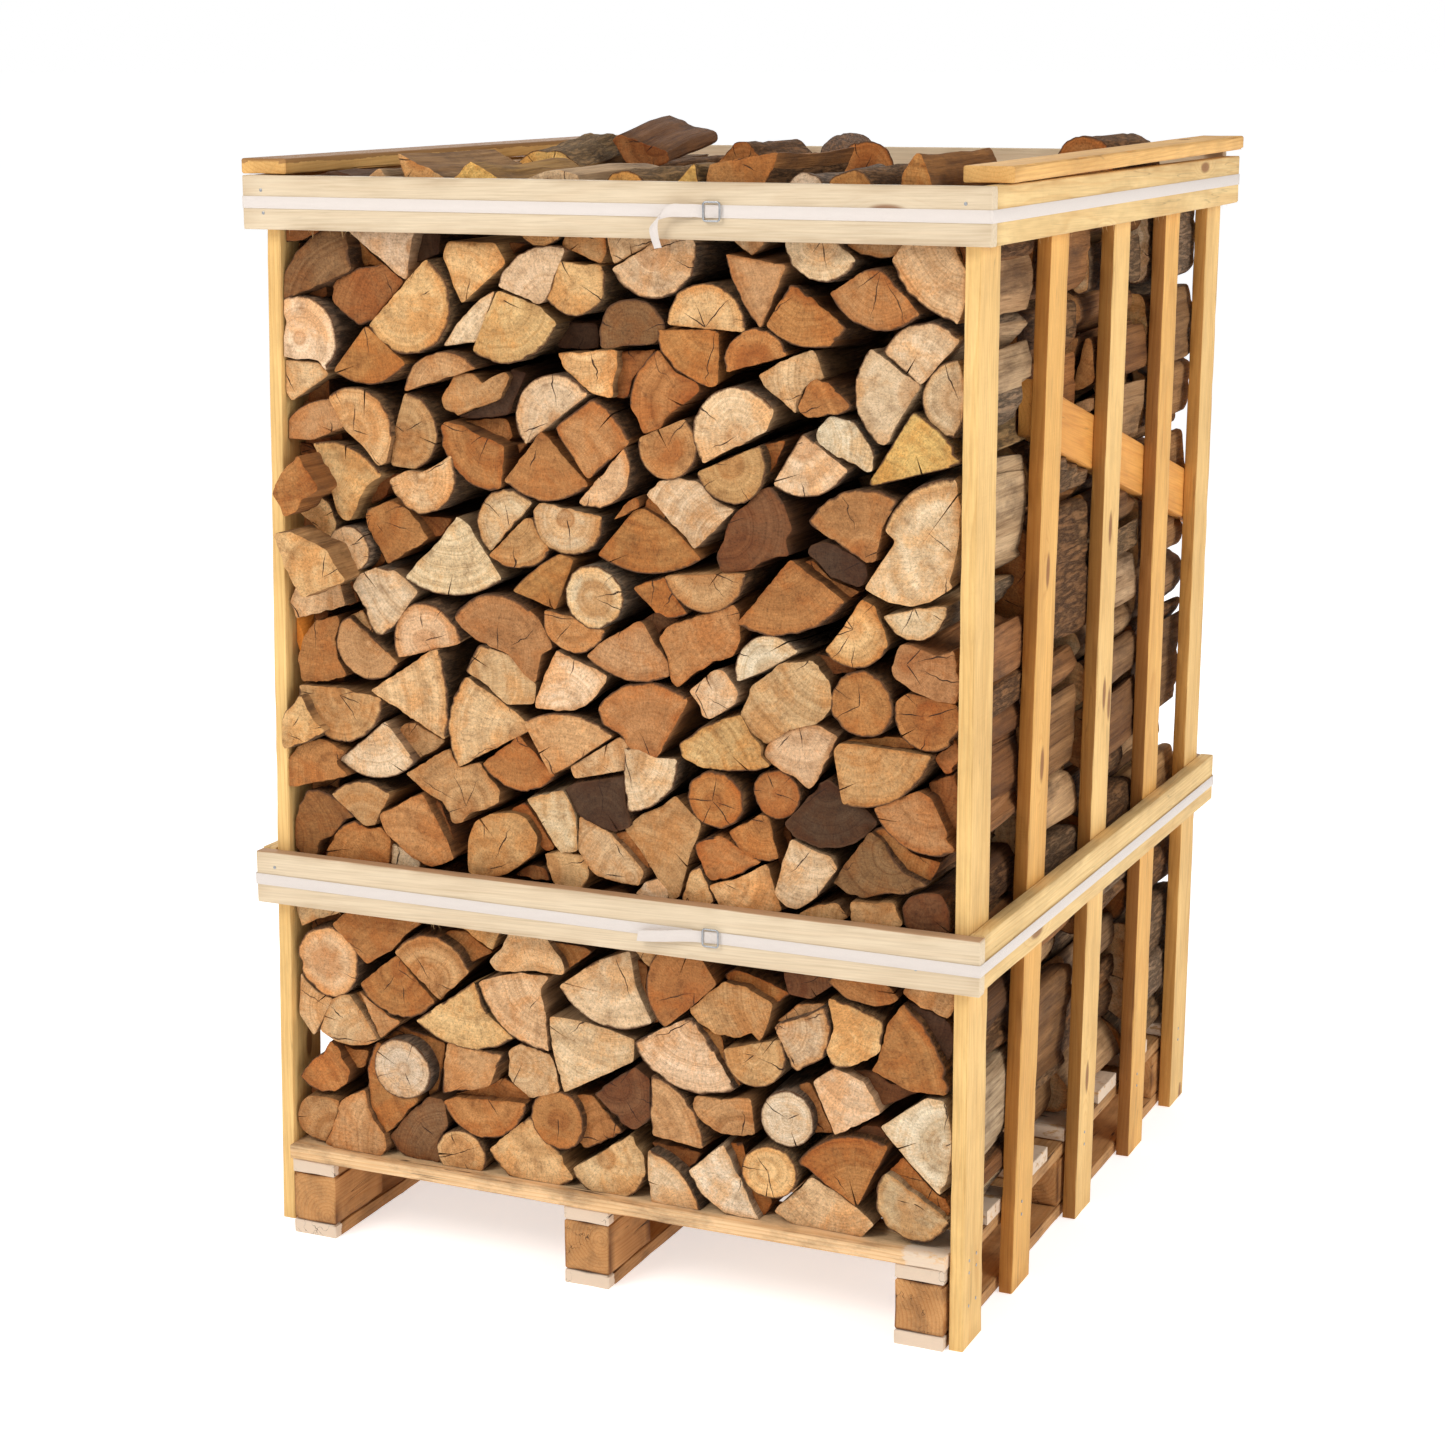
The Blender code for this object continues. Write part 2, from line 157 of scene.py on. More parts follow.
class Pile:
    """Arrays of several lofts that end up in one mesh."""

    def __init__(self):
        self.points, self.quads, self.tris = [], [], []
        self.quad_kinds, self.tri_kinds = [], []
        self.values = {"grain": [], "trace": [], "tone": []}
        self.count = 0

    def add(self, rings, tone, grain=0.0, trace=0.0, kinds=0, poles=None):
        """rings is (stations, around, 3); kinds is a material number, or one for each strip and place."""
        stations, around = rings.shape[:2]
        size = stations * around + 2
        quads, tris = loft_faces(stations, around)
        poles = rings[[0, -1]].mean(axis=1) if poles is None else poles
        kinds = np.broadcast_to(kinds, (stations, around))
        self.points.append(np.concatenate([rings.reshape(-1, 3), poles]))
        self.quads.append(quads + self.count)
        self.tris.append(tris + self.count)
        self.quad_kinds.append(kinds[:-1].reshape(-1))
        self.tri_kinds.append(np.repeat(kinds[[0, -1], 0], around))
        for key, value in (("grain", grain), ("trace", trace), ("tone", tone)):
            self.values[key].append(np.broadcast_to(value, (size, 3)))
        self.count += size

    def build(self, name, materials, sharp=38.0):
        """Writes the arrays into a mesh, with smooth faces and sharp edges past an angle in degrees."""
        points = np.concatenate(self.points)
        quads, tris = np.concatenate(self.quads), np.concatenate(self.tris)
        corners = np.concatenate([quads.ravel(), tris.ravel()])
        starts = np.concatenate([np.arange(len(quads)) * 4, len(quads) * 4 + np.arange(len(tris)) * 3])
        mesh = bpy.data.meshes.new(name)
        mesh.vertices.add(len(points))
        mesh.vertices.foreach_set("co", points.astype(np.float32).ravel())
        mesh.loops.add(len(corners))
        mesh.loops.foreach_set("vertex_index", corners.astype(np.int32))
        mesh.polygons.add(len(starts))
        mesh.polygons.foreach_set("loop_start", starts.astype(np.int32))
        kinds = np.concatenate([*self.quad_kinds, *self.tri_kinds])
        for material in materials:
            mesh.materials.append(material)
        mesh.update(calc_edges=True)
        mesh.polygons.foreach_set("material_index", kinds.astype(np.int32))
        for key in ("grain", "trace"):
            made = mesh.attributes.new(key, "FLOAT_VECTOR", "POINT")
            made.data.foreach_set("vector", np.concatenate(self.values[key]).astype(np.float32).ravel())
        tone = np.concatenate(self.values["tone"])
        paint = mesh.attributes.new("tone", "FLOAT_COLOR", "POINT")
        paint.data.foreach_set("color", spread(*tone.T, 1.0).astype(np.float32).ravel())
        mesh.shade_smooth()
        mesh.set_sharp_from_angle(angle=math.radians(sharp))
        return show(name, mesh)


def own(piece, slot, *nodes):
    """Joins a piece to the crate's one body and lets it stand for CAD nodes, which it hides. slot is not
    used.
    """
    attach(piece, "root")
    if nodes:
        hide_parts(*nodes)
    return piece


WAVES = 7
WAVE_TURN = 0.6
WAVE_GAIN = 1.8


def ripple(points, rng, size):
    """Smooth noise: the mean of a few cosine waves in random directions, about -1 to 1."""
    turns = rng.normal(size=(WAVES, points.shape[-1])) * (2 * np.pi / size) * WAVE_TURN
    phases = rng.uniform(0, 2 * np.pi, WAVES)
    return np.cos(points @ turns.T + phases).mean(axis=-1) * WAVE_GAIN


# %% [markdown]
# Every wooden surface reads three attributes stored on its points. grain is the place measured from the
# heart of the tree, so rings, rays and long fibres fall out of it as in a solid block of wood.
# tone is the colour of that log or board, and trace says where on the piece a point lies.


# %% Shader helper
class Value:
    """What a node gives out. A formula with values in it adds the nodes that work it out."""

    def __init__(self, shader, socket):
        self.shader, self.socket = shader, socket

    def __add__(self, other):
        return self.shader.math("ADD", self, other)

    def __sub__(self, other):
        return self.shader.math("SUBTRACT", self, other)

    def __rsub__(self, other):
        return self.shader.math("SUBTRACT", other, self)

    def __mul__(self, other):
        return self.shader.math("MULTIPLY", self, other)

    def __truediv__(self, other):
        return self.shader.math("DIVIDE", self, other)

    def __abs__(self):
        return self.shader.math("ABSOLUTE", self)


class Shader:
    """Short names for the nodes of one material."""

    def __init__(self, name):
        self.material = bpy.data.materials.new(name)
        self.material.use_nodes = True
        self.tree = self.material.node_tree
        self.surface = self.tree.nodes["Principled BSDF"]

    def put(self, socket, value):
        """Links a value to a socket, or writes a constant on it."""
        if isinstance(value, Value):
            self.tree.links.new(value.socket, socket)
        else:
            socket.default_value = value

    def outputs(self, kind, sockets, **settings):
        """Adds a node, sets it up and gives what it puts out, by number and by name."""
        made = self.tree.nodes.new(kind)
        for key, value in settings.items():
            setattr(made, key, value)
        for socket, value in sockets.items():
            self.put(made.inputs[socket], value)
        both = [*enumerate(made.outputs), *made.outputs.items()]
        return {key: Value(self, socket) for key, socket in both}

    def read(self, name, output="Vector"):
        return self.outputs("ShaderNodeAttribute", {}, attribute_name=name)[output]

    def split(self, vector):
        parts = self.outputs("ShaderNodeSeparateXYZ", {0: vector})
        return parts[0], parts[1], parts[2]

    def join(self, x, y, z):
        return self.outputs("ShaderNodeCombineXYZ", {0: x, 1: y, 2: z})[0]

    def math(self, operation, a, b=0.0, clamp=False):
        return self.outputs("ShaderNodeMath", {0: a, 1: b}, operation=operation, use_clamp=clamp)[0]

    def length(self, vector):
        return self.outputs("ShaderNodeVectorMath", {0: vector}, operation="LENGTH")["Value"]

    def noise(self, vector, scale, detail=3.0, rough=0.55, distortion=0.0):
        sockets = {"Vector": vector, "Scale": scale, "Detail": detail}
        sockets |= {"Roughness": rough, "Distortion": distortion}
        return self.outputs("ShaderNodeTexNoise", sockets)[0]

    def stretched(self, vector, scale, detail=3.0, rough=0.55, distortion=0.0):
        """Noise with its own scale each way; two numbers are across and along the fibres."""
        scale = (scale[0], scale[1], scale[0]) if len(scale) == 2 else scale
        vector = self.outputs("ShaderNodeMapping", {"Vector": vector, "Scale": scale})[0]
        return self.noise(vector, 1.0, detail, rough, distortion)

    def ramp(self, fac, *stops):
        """Grey levels or colours at places along fac."""
        made = self.outputs("ShaderNodeValToRGB", {0: fac})[0]
        line = made.socket.node.color_ramp
        while len(line.elements) < len(stops):
            line.elements.new(1.0)
        for element, (place, shade) in zip(line.elements, stops):
            element.position = place
            element.color = (shade, shade, shade, 1.0) if np.isscalar(shade) else (*shade, 1.0)
        return made

    def mix(self, fac, a, b, blend="MIX"):
        a, b = [value if isinstance(value, Value) else (*value, 1.0) for value in (a, b)]
        return self.outputs("ShaderNodeMix", {0: fac, 6: a, 7: b}, data_type="RGBA", blend_type=blend)[2]

    def tint(self, colour, layer, share=1.0):
        """The colour times a layer, or a share of the way there."""
        return self.mix(share, colour, layer, "MULTIPLY")

    def bump(self, height, strength, distance):
        sockets = {"Height": height, "Strength": strength, "Distance": distance}
        return self.outputs("ShaderNodeBump", sockets)[0]

    def finish(self, colour, roughness, normal=None, specular=0.3):
        sockets = {"Base Color": colour, "Roughness": roughness, "Specular IOR Level": specular}
        for socket, value in sockets.items():
            self.put(self.surface.inputs[socket], value)
        if normal is not None:
            self.put(self.surface.inputs["Normal"], normal)
        return self.material


# %% [markdown]
# A sawn log end shows rings round the heart, fine rays, drying cracks that run out from the heart, stains,
# grit from the saw and a dark rim under the bark, which is partly bark and partly painted shade of the gaps
# between logs. All of it is a function of the distance and the direction from the heart. The third number of
# trace is how old and rough this log looks; for ends set deep in the front row it is raised as painted
# shade.


# %% End grain
RING = (0.0026, 0.0062)
CORE = (0.006, 0.046)
CRACK_START = 0.075
CRACK_REACH = (0.010, 0.045)
CRACK_WIDTH = 0.0011
CRACK_EDGE = 0.0004
# Colour of the dark rim under the bark on log ends: partly the bark, partly painted shade of the gaps
# between logs.
BARK_RIM_AND_SHADE = linear(84, 54, 32)
CRACK = linear(52, 30, 18)


def hashed(seed, factor, low=0.0, high=1.0):
    """A number from low to high that each log keeps: the fraction of its seed times a factor."""
    share = seed.shader.math("FRACT", seed * factor)
    return share if (low, high) == (0.0, 1.0) else share * (high - low) + low


def radial_cracks(s, gx, gz, radius, seed, wear):
    """Thin wedges along the radius: one in each of a few sectors, some left out, each with its own reach."""
    bend = (s.noise(s.join(gx, seed, gz), 30.0, 2.0) - 0.5) * 0.07
    turn = s.math("ARCTAN2", gz, gx) / (2 * math.pi) + bend
    count = s.math("FLOOR", hashed(seed, 5.7) * 6.0) + 6.0
    sector = turn * count
    which = s.math("FLOORED_MODULO", s.math("FLOOR", sector), count)
    luck = s.outputs("ShaderNodeTexWhiteNoise", {"Vector": s.join(which, seed, 0.0)})["Color"]
    chance, place, reach = s.split(luck)
    away = abs(s.math("FRACT", sector) - 0.5) / count * (radius * (2 * math.pi))
    longest = reach * (CRACK_REACH[1] - CRACK_REACH[0]) + CRACK_REACH[0]
    along = abs(radius - place * CRACK_START) / longest
    kept = s.ramp(chance + wear * 0.3, (0.62, 0.0), (0.63, 1.0))
    width = (1.0 - along) * (kept * CRACK_WIDTH)
    return s.math("DIVIDE", width - away, CRACK_EDGE, clamp=True)


def ring_layers(s, gx, gz, place, radius, seed, wear):
    """Layers for year rings, for good and bad years, for the rays that cross them and for the heartwood."""
    warped = radius + s.noise(place, 14.0, 2.0) * 0.022
    turns = warped / hashed(seed, 7.3, *RING)
    safe = s.math("MAXIMUM", radius, 0.001)
    compass = s.join(gx / safe, gz / safe, radius * 3.0 + seed)
    ring = s.noise(s.join(turns, seed, 0.0), 1.1, 2.0, 0.6)
    band = s.noise(s.join(turns, seed, 5.0), 0.17, 2.0)
    ray = s.noise(compass, 30.0, 4.0, 0.7)
    return (
        (s.ramp(ring, (0.3, (0.74, 0.63, 0.50)), (0.58, (1.06, 1.05, 1.03))), wear * 0.5 + 0.42),
        (s.ramp(band, (0.32, (0.78, 0.68, 0.56)), (0.6, (1.07, 1.06, 1.04))), 0.8),
        (s.ramp(ray, (0.36, 0.82), (0.62, 1.07)), 1.0),
        ((0.80, 0.60, 0.42), s.ramp(warped / hashed(seed, 3.1, *CORE), (0.80, 0.55), (0.98, 0.0))),
    )


def saw_layers(s, place):
    """Layers for mottled wood, the saw's strokes, grit and stains, and the relief of the first three."""
    mottle = s.noise(place, 34.0, 6.0, 0.66)
    saw = s.stretched(place, (45.0, 1.0, 330.0), 3.0, 0.6, 0.4)
    grit = s.ramp(s.noise(place, 330.0, 3.0, 0.85), (0.32, 0.60), (0.47, 0.98), (0.70, 1.14))
    dark = ((0.27, (0.50, 0.40, 0.31)), (0.44, (0.94, 0.91, 0.87)))
    light = ((0.56, 1.02), (0.72, (1.16, 1.14, 1.10)))
    layers = (
        (s.ramp(mottle, *dark, *light), 0.9),
        (s.ramp(saw, (0.32, 0.86), (0.60, 1.04)), 0.8),
        (grit, 1.0),
        ((0.90, 0.70, 0.50), s.ramp(s.noise(place, 17.0, 5.0, 0.68, 0.3), (0.47, 0.0), (0.60, 0.85))),
    )
    return layers, saw * 0.5 + grit * 0.6 + mottle * 0.8


def end_grain():
    s = Shader("end_grain")
    colour = s.read("tone", "Color")
    rim, seed, wear = s.split(s.read("trace"))
    gx, _, gz = s.split(s.read("grain"))
    place = s.join(gx, seed, gz)
    radius = s.length(s.join(gx, 0.0, gz))
    edge = rim + (s.noise(place, 90.0, 4.0, 0.65) - 0.5) * 0.16
    *rings, heartwood = ring_layers(s, gx, gz, place, radius, seed, wear)
    marks, height = saw_layers(s, place)
    rim_stain = ((0.92, 0.68, 0.42), s.ramp(edge, (0.66, 0.0), (0.88, 0.8)) * hashed(seed, 11.9))
    for layer, share in (*rings, *marks, heartwood, rim_stain):
        colour = s.tint(colour, layer, share)
    # The dark rim under the bark, partly bark and partly painted shade.
    colour = s.mix(s.ramp(edge, (0.925, 0.0), (0.955, 0.6), (0.985, 1.0)), colour, BARK_RIM_AND_SHADE)
    cracks = radial_cracks(s, gx, gz, radius, seed, wear)
    colour = s.mix(cracks, colour, CRACK)
    return s.finish(colour, 0.85, s.bump(height - cracks * 1.5, 0.7, 0.0014))


# %% [markdown]
# A split face is torn along the fibres: long streaks, darker and greyer with age; on ends set deep in the
# front row that darkening is painted shade. Bark is dark and lumpy, with furrows that run along the log
# where a stretched noise crosses its middle value.


# %% Split face and bark
def split_face():
    s = Shader("split_face")
    grain = s.read("grain")
    wear = s.split(s.read("trace"))[2]
    fibre = s.stretched(grain, (480.0, 9.0), 3.0, 0.6)
    streak = s.stretched(grain, (150.0, 3.4), 6.0, 0.72)
    broad = s.stretched(grain, (38.0, 2.6))
    stain = s.stretched(grain, (19.0, 8.0), 5.0, 0.66)
    # Wear mixes the tone towards grey-brown; for ends set deep in the front row this is painted shade.
    colour = s.mix(wear * 0.85, s.read("tone", "Color"), linear(126, 92, 60))
    for layer in (
        s.ramp(streak, (0.30, (0.34, 0.27, 0.21)), (0.48, (0.82, 0.76, 0.68)), (0.70, (1.10, 1.06, 1.0))),
        s.ramp(broad, (0.3, (0.60, 0.50, 0.40)), (0.62, (1.05, 1.0, 0.95))),
        s.ramp(fibre, (0.3, 0.80), (0.6, 1.05)),
    ):
        colour = s.tint(colour, layer)
    colour = s.mix(s.ramp(stain, (0.48, 0.0), (0.72, 0.8)), colour, linear(74, 52, 36))
    return s.finish(colour, 0.88, s.bump(streak + (broad + fibre * 0.3) * 0.8, 1.0, 0.004))


def bark():
    s = Shader("log_bark")
    grain = s.read("grain")
    ridge = s.stretched(grain, (105.0, 13.0), 6.0, 0.68, 0.3)
    furrow = s.ramp(abs(ridge - 0.5), (0.0, 0.0), (0.05, 0.7), (0.13, 1.0))
    lumps = s.stretched(grain, (150.0, 48.0), 6.0, 0.72)
    lichen = s.stretched(grain, (17.0, 9.0), 4.0, 0.62)
    colour = s.mix(s.ramp(lumps, (0.30, 0.0), (0.70, 1.0)), linear(56, 37, 24), linear(150, 106, 68))
    colour = s.mix(s.ramp(lichen, (0.54, 0.0), (0.74, 0.35)), colour, linear(170, 138, 98))
    colour = s.mix(0.22, colour, s.read("tone", "Color"))
    colour = s.tint(colour, s.ramp(furrow, (0.0, 0.48), (1.0, 1.0)))
    return s.finish(colour, 0.92, s.bump(furrow * 0.5 + lumps, 1.0, 0.004))


WOOD = [end_grain(), split_face(), bark()]
END, SPLIT, BARK = 0, 1, 2
print("log materials", [material.name for material in WOOD])

# %% [markdown]
# Dry wood keeps the colour of its kind: birch is nearly white, alder and larch are amber, and old faces go
# brown or grey. Each log has one of these tones. The logs lie between the slats and leave room for the two
# braces that lean inside them, so points that would reach past a wall are held at it.

# %% Log tones and walls
TONES = {
    "white": (228, 210, 182), "cream": (226, 198, 164), "pale": (217, 182, 140), "straw": (222, 182, 130),
    "honey": (226, 184, 112), "tan": (197, 154, 106), "rose": (186, 136, 88), "amber": (183, 129, 75),
    "brown": (182, 125, 72), "mauve": (120, 80, 50), "umber": (154, 102, 58), "slate": (138, 102, 68),
    "bark": (84, 60, 42),
}
OLD_TONES = ("brown", "mauve", "umber", "slate", "bark")

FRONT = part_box("rail_front_top")[0].y
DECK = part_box("pallet_deck_board_1")[1].z
RIGHT_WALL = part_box("brace_right")[1].x
LEFT_WALL = (-0.5475, -0.5095)
WALL_HEIGHT = 1.536
CLEAR = 0.0012
ABOVE_DECK = 0.0005
BOARD = 0.022
BRACES = {
    "right": ((0.316, 1.2945), (1.205, 1.0425)),
    "left": ((0.066, 0.9528), (1.205, 1.300)),
}
BRACE_HALF = 0.0425
BRACE_LEAD = 0.02


def left_wall(z):
    """X of the left slats' inner faces, which lean in towards the top."""
    return LEFT_WALL[0] + (LEFT_WALL[1] - LEFT_WALL[0]) * z / WALL_HEIGHT


def keep_inside(points):
    """Holds points between the deck and the slats, and clear of the braces that lie inside them."""
    x, y, z = points[..., 0], points[..., 1] - FRONT, points[..., 2]
    low = left_wall(z) + CLEAR
    high = np.full_like(x, RIGHT_WALL - CLEAR)
    for side, ((y0, z0), (y1, z1)) in BRACES.items():
        middle = z0 + (z1 - z0) * (y - y0) / (y1 - y0)
        hit = (np.abs(z - middle) < BRACE_HALF) & (y > y0 - BRACE_LEAD)
        if side == "left":
            low = np.where(hit, low + BOARD, low)
        else:
            high = np.where(hit, high - BOARD, high)
    points[..., 0] = np.clip(x, low, high)
    points[..., 2] = np.maximum(z, DECK + ABOVE_DECK)
    return points


# %% [markdown]
# A split log is a wedge, a half or a whole round. Its end is described by its corners and one round side:
# the height of the arc that closes it. The heart of the tree is the centre of that arc. The outline is
# sampled evenly along its edges, and a drying crack is a narrow notch that points at the middle.


# %% Outlines
OVAL = 0.05
LOBES = ((2, 0.02), (3, 0.012))
HEART_AWAY = (0.4, 1.6)


def arc_side(first, last, sag, step):
    """Points on the arc from last back to first, which bulges by sag, and the centre of that arc."""
    chord = first - last
    half = np.linalg.norm(chord) / 2
    left = np.array([chord[1], -chord[0]]) / (2 * half)
    radius = (half**2 + sag**2) / (2 * sag)
    centre = (first + last) / 2 + left * (sag - radius)
    start = np.arctan2(*(last - centre)[::-1])
    swing = 2 * np.arcsin(min(1.0, half / radius))
    if sag > radius:
        swing = 2 * np.pi - swing
    count = max(4, int(radius * swing / step))
    side = np.sign(np.cross(last - centre, left)) or 1.0
    angles = start + side * swing * np.arange(1, count) / count
    return centre + radius * spread(np.cos(angles), np.sin(angles)), centre


def even_edges(corners, step, closed):
    """Corners with points added along each edge about one step apart."""
    made = []
    count = len(corners) if closed else len(corners) - 1
    for i in range(count):
        a, b = corners[i], corners[(i + 1) % len(corners)]
        parts = max(1, int(round(np.linalg.norm(b - a) / step)))
        made.append(a + (b - a) * (np.arange(parts) / parts)[:, None])
    if not closed:
        made.append(corners[-1:])
    return np.concatenate(made)


def whole_round(centre, radius, step, rng):
    """(outline, bark mask, heart) of a round that was never split, a little oval."""
    count = int(2 * np.pi * radius / step)
    angles = 2 * np.pi * np.arange(count) / count
    oval = rng.uniform(1 - OVAL, 1 + OVAL)
    wave = sum((high * np.cos(lobes * angles + rng.uniform(0, 6)) for lobes, high in LOBES), start=1)
    ray = spread(oval * np.cos(angles), np.sin(angles) / oval)
    heart = centre + rng.uniform(-0.1, 0.1, 2) * radius
    return centre + radius * wave[:, None] * ray, np.ones(count), heart


def section(corners, sag, step, rng):
    """(outline, bark mask, heart) of a log end in metres, anticlockwise as seen from the front."""
    corners = np.asarray(corners, float)
    if len(corners) == 1:
        return whole_round(corners[0], sag, step, rng)
    if sag > 0:
        arc, heart = arc_side(corners[0], corners[-1], sag, step)
        edges = even_edges(corners, step, False)
        outline = np.concatenate([edges, arc])
        mask = np.concatenate([np.zeros(len(edges)), np.ones(len(arc))])
    else:
        outline = even_edges(corners, step, True)
        mask = np.zeros(len(outline))
        turn = rng.uniform(0, 2 * np.pi)
        reach = np.abs(outline - outline.mean(axis=0)).max() * rng.uniform(*HEART_AWAY)
        heart = outline.mean(axis=0) + reach * np.array([np.cos(turn), np.sin(turn)])
    area = np.cross(outline, np.roll(outline, -1, axis=0)).sum()
    if area < 0:
        outline, mask = outline[::-1], mask[::-1]
    return outline, mask, heart


def soften(outline, times):
    """Rounds corners: each point moves towards the middle of its neighbours."""
    for _ in range(times):
        outline = 0.5 * outline + 0.25 * (np.roll(outline, 1, axis=0) + np.roll(outline, -1, axis=0))
    return outline


def middle_of(outline):
    """Centre of area of an outline."""
    after = np.roll(outline, -1, axis=0)
    weight = np.cross(outline, after)
    return ((outline + after) * weight[:, None]).sum(axis=0) / (3 * weight.sum())


def notch(outline, mask, place, depth, width, centre):
    """A crack: three points that run in towards the centre and out again."""
    i = place % len(outline)
    mouth = outline[i]
    along = np.roll(outline, -1, axis=0)[i] - mouth
    along = along / max(np.linalg.norm(along), 1e-6) * width / 2
    tip = mouth + (centre - mouth) * depth
    cut = np.array([mouth - along, tip, mouth + along])
    outline = np.concatenate([outline[:i], cut, outline[i + 1 :]])
    return outline, np.concatenate([mask[:i], np.repeat(mask[i], 3), mask[i + 1 :]])


# %% [markdown]
# The log's skin is the outline carried back along Y, with a slight taper, bow, fibres and lumps that grow
# from nothing at the sawn end, which keeps its true outline. Smaller rings inside the end give its face
# enough points for the saw's waves and chipped corners. The logs in front get a finer grade than the rest.

# %% One log
SPLIT_RIM = 0.86
BEVEL = 0.0012
LUMPS = ((1.0, 0.045, 0.0016), (1.0, 0.018, 0.0007))
FIBRES = ((0.12, 0.016, 0.0011), (0.3, 0.06, 0.0030))
JAGS = ((0.0, 0.011, 0.0009), (0.0, 0.026, 0.0013))
SAW_WAVES = ((0.012, 0.00035), (0.05, 0.0007))
CHIP = (0.03, 0.45, 0.006)
BOW = 0.004
TAPER = (-0.05, 0.06)
TILT = 0.025
FULL_SWELL = 6
CRACKED_SWELL = 0.3
FINE = {"step": 0.0050, "near": (0.30, 0.60, 0.83, 0.955), "along": 8, "far": (0.7,)}
COARSE = {"step": 0.0100, "near": (0.6,), "along": 6, "far": (0.6,)}
BACK = {"step": 0.0076, "near": (0.6,), "along": 6, "far": (0.95, 0.6)}


def relief_of(points, rng, waves):
    """Sum of ripples; each wave is how much it changes along the log, its length and its height."""
    return sum(ripple(points * (1, along, 1), rng, size) * height for along, size, height in waves)


def skin_swell(outline, mask, t, rng):
    """How far the skin stands out in metres: lumps under bark, fibres on split faces, a jagged outline."""
    away = spread(outline[:, 0], t * 0.3, outline[:, 1])
    lumps, fibre, jag = [relief_of(away, rng, waves) for waves in (LUMPS, FIBRES, JAGS)]
    barked = mask > 0.5
    relief = np.where(barked, lumps, fibre) * np.minimum(1.0, t * FULL_SWELL)
    return relief + np.where(barked, lumps, fibre * 0.2) * 0.5 + jag


def end_relief(flat, t, scale, lean, rng):
    """Depth of the end faces in metres: lean and the saw's waves, chipped corners and a small bevel."""
    rough = sum(ripple(flat, rng, size) * height for size, height in SAW_WAVES)
    first, last = t < 0.01, t > 0.99
    chip = np.maximum(0, ripple(flat, rng, CHIP[0]) - CHIP[1]) * CHIP[2] * (scale > 0.9) * first
    bevel = np.where(scale > 0.99, BEVEL, 0.0) * (1.0 * first - 1.0 * last)
    return (lean + rough) * (1 - t) - lean * 0.6 * t + chip + bevel


def carry(outline, mask, centre, ends, rng, grade, tilt, notched):
    """Rings of a log from its near to its far end, as (across, along, up), and what its points know.

    A point is the centre, plus the spoke to its outline point made longer by taper and swell and shorter by
    the scale of its ring, plus a bow of half a sine wave. Its depth runs from one end to the other.
    """
    near, far = grade["near"], grade["far"]
    long_part = np.linspace(0.0, 1.0, grade["along"])
    scale = np.concatenate([near, np.ones(len(long_part)), far])[:, None]
    t = np.concatenate([np.zeros(len(near)), long_part, np.ones(len(far))])[:, None]
    spoke = outline - centre
    reach = np.linalg.norm(spoke, axis=1)
    ray = spoke / np.maximum(reach, 1e-6)[:, None]
    swell = skin_swell(outline, mask, t, rng) * (CRACKED_SWELL if notched else 1.0)
    grow = 1 + rng.uniform(*TAPER) * t
    size = (reach * grow + swell) * scale
    bow = np.sin(np.pi * t) * BOW * rng.normal(size=2)[None, :]
    across = centre[0] + ray[:, 0] * size + bow[:, :1]
    up = centre[1] + ray[:, 1] * size + bow[:, 1:]
    tilt = rng.normal(size=2) * TILT if tilt is None else tilt
    lean = (across - centre[0]) * tilt[0] + (up - centre[1]) * tilt[1]
    depth = ends[0] + (ends[1] - ends[0]) * t + end_relief(spread(across, up), t, scale, lean, rng)
    rings = spread(across, depth, up)
    pole_depths = rings[[0, -1], :, 1].mean(axis=1)
    poles = spread(centre[0] + bow[[0, -1], 0], pole_depths, centre[1] + bow[[0, -1], 1])
    kinds = np.broadcast_to(np.where(mask > 0.5, BARK, SPLIT), size.shape).copy()
    kinds[:-1][(t[:-1] == t[1:])[:, 0]] = END
    kinds[-1] = END
    edge = np.where(mask > 0.5, 1.0, SPLIT_RIM) * scale
    return rings, poles, kinds, edge


def add_log(pile, outline, mask, heart, ends, tone, wear, rng, grade, cracks=(), place=None, tilt=None):
    """One log into a pile; place turns (across, along, up) into the crate's own X, Y and Z."""
    centre = middle_of(outline)
    outline = soften(outline, 1)
    for start, depth, width in cracks:
        outline, mask = notch(outline, mask, int(start * len(outline)), depth, width, centre)
    rings, poles, kinds, edge = carry(outline, mask, centre, ends, rng, grade, tilt, bool(cracks))
    local = np.concatenate([rings.reshape(-1, 3), poles])
    seed = rng.uniform(0, 40)
    grain = local + (-heart[0], seed, -heart[1])
    trace = spread(np.append(edge, (0.0, 0.0)), seed, wear)
    placed = keep_inside(local.copy()) if place is None else place(local)
    pile.add(placed[:-2].reshape(rings.shape), tone, grain, trace, kinds, placed[-2:])


# %% [markdown]
# The front row is what the eye reads first, so its ends were written down one by one from left to right and
# from the top down: tone, centimetres behind the usual plane, height of the round side, then the corners.
# One point alone is a whole round, and the height is its radius. Points are centimetres across and up, as
# seen on the plane READ_AT behind the front of the rails, so ends nearer or farther are scaled about the
# eye. A line that starts with a space goes on with the log before it.

# %% Ends of the front row
ROW_FRONT = 0.030
READ_AT = 0.040
EYE_BACK = 3.547
EYE_U, EYE_V = 236.1, 177.4
ZERO_X = -0.5695

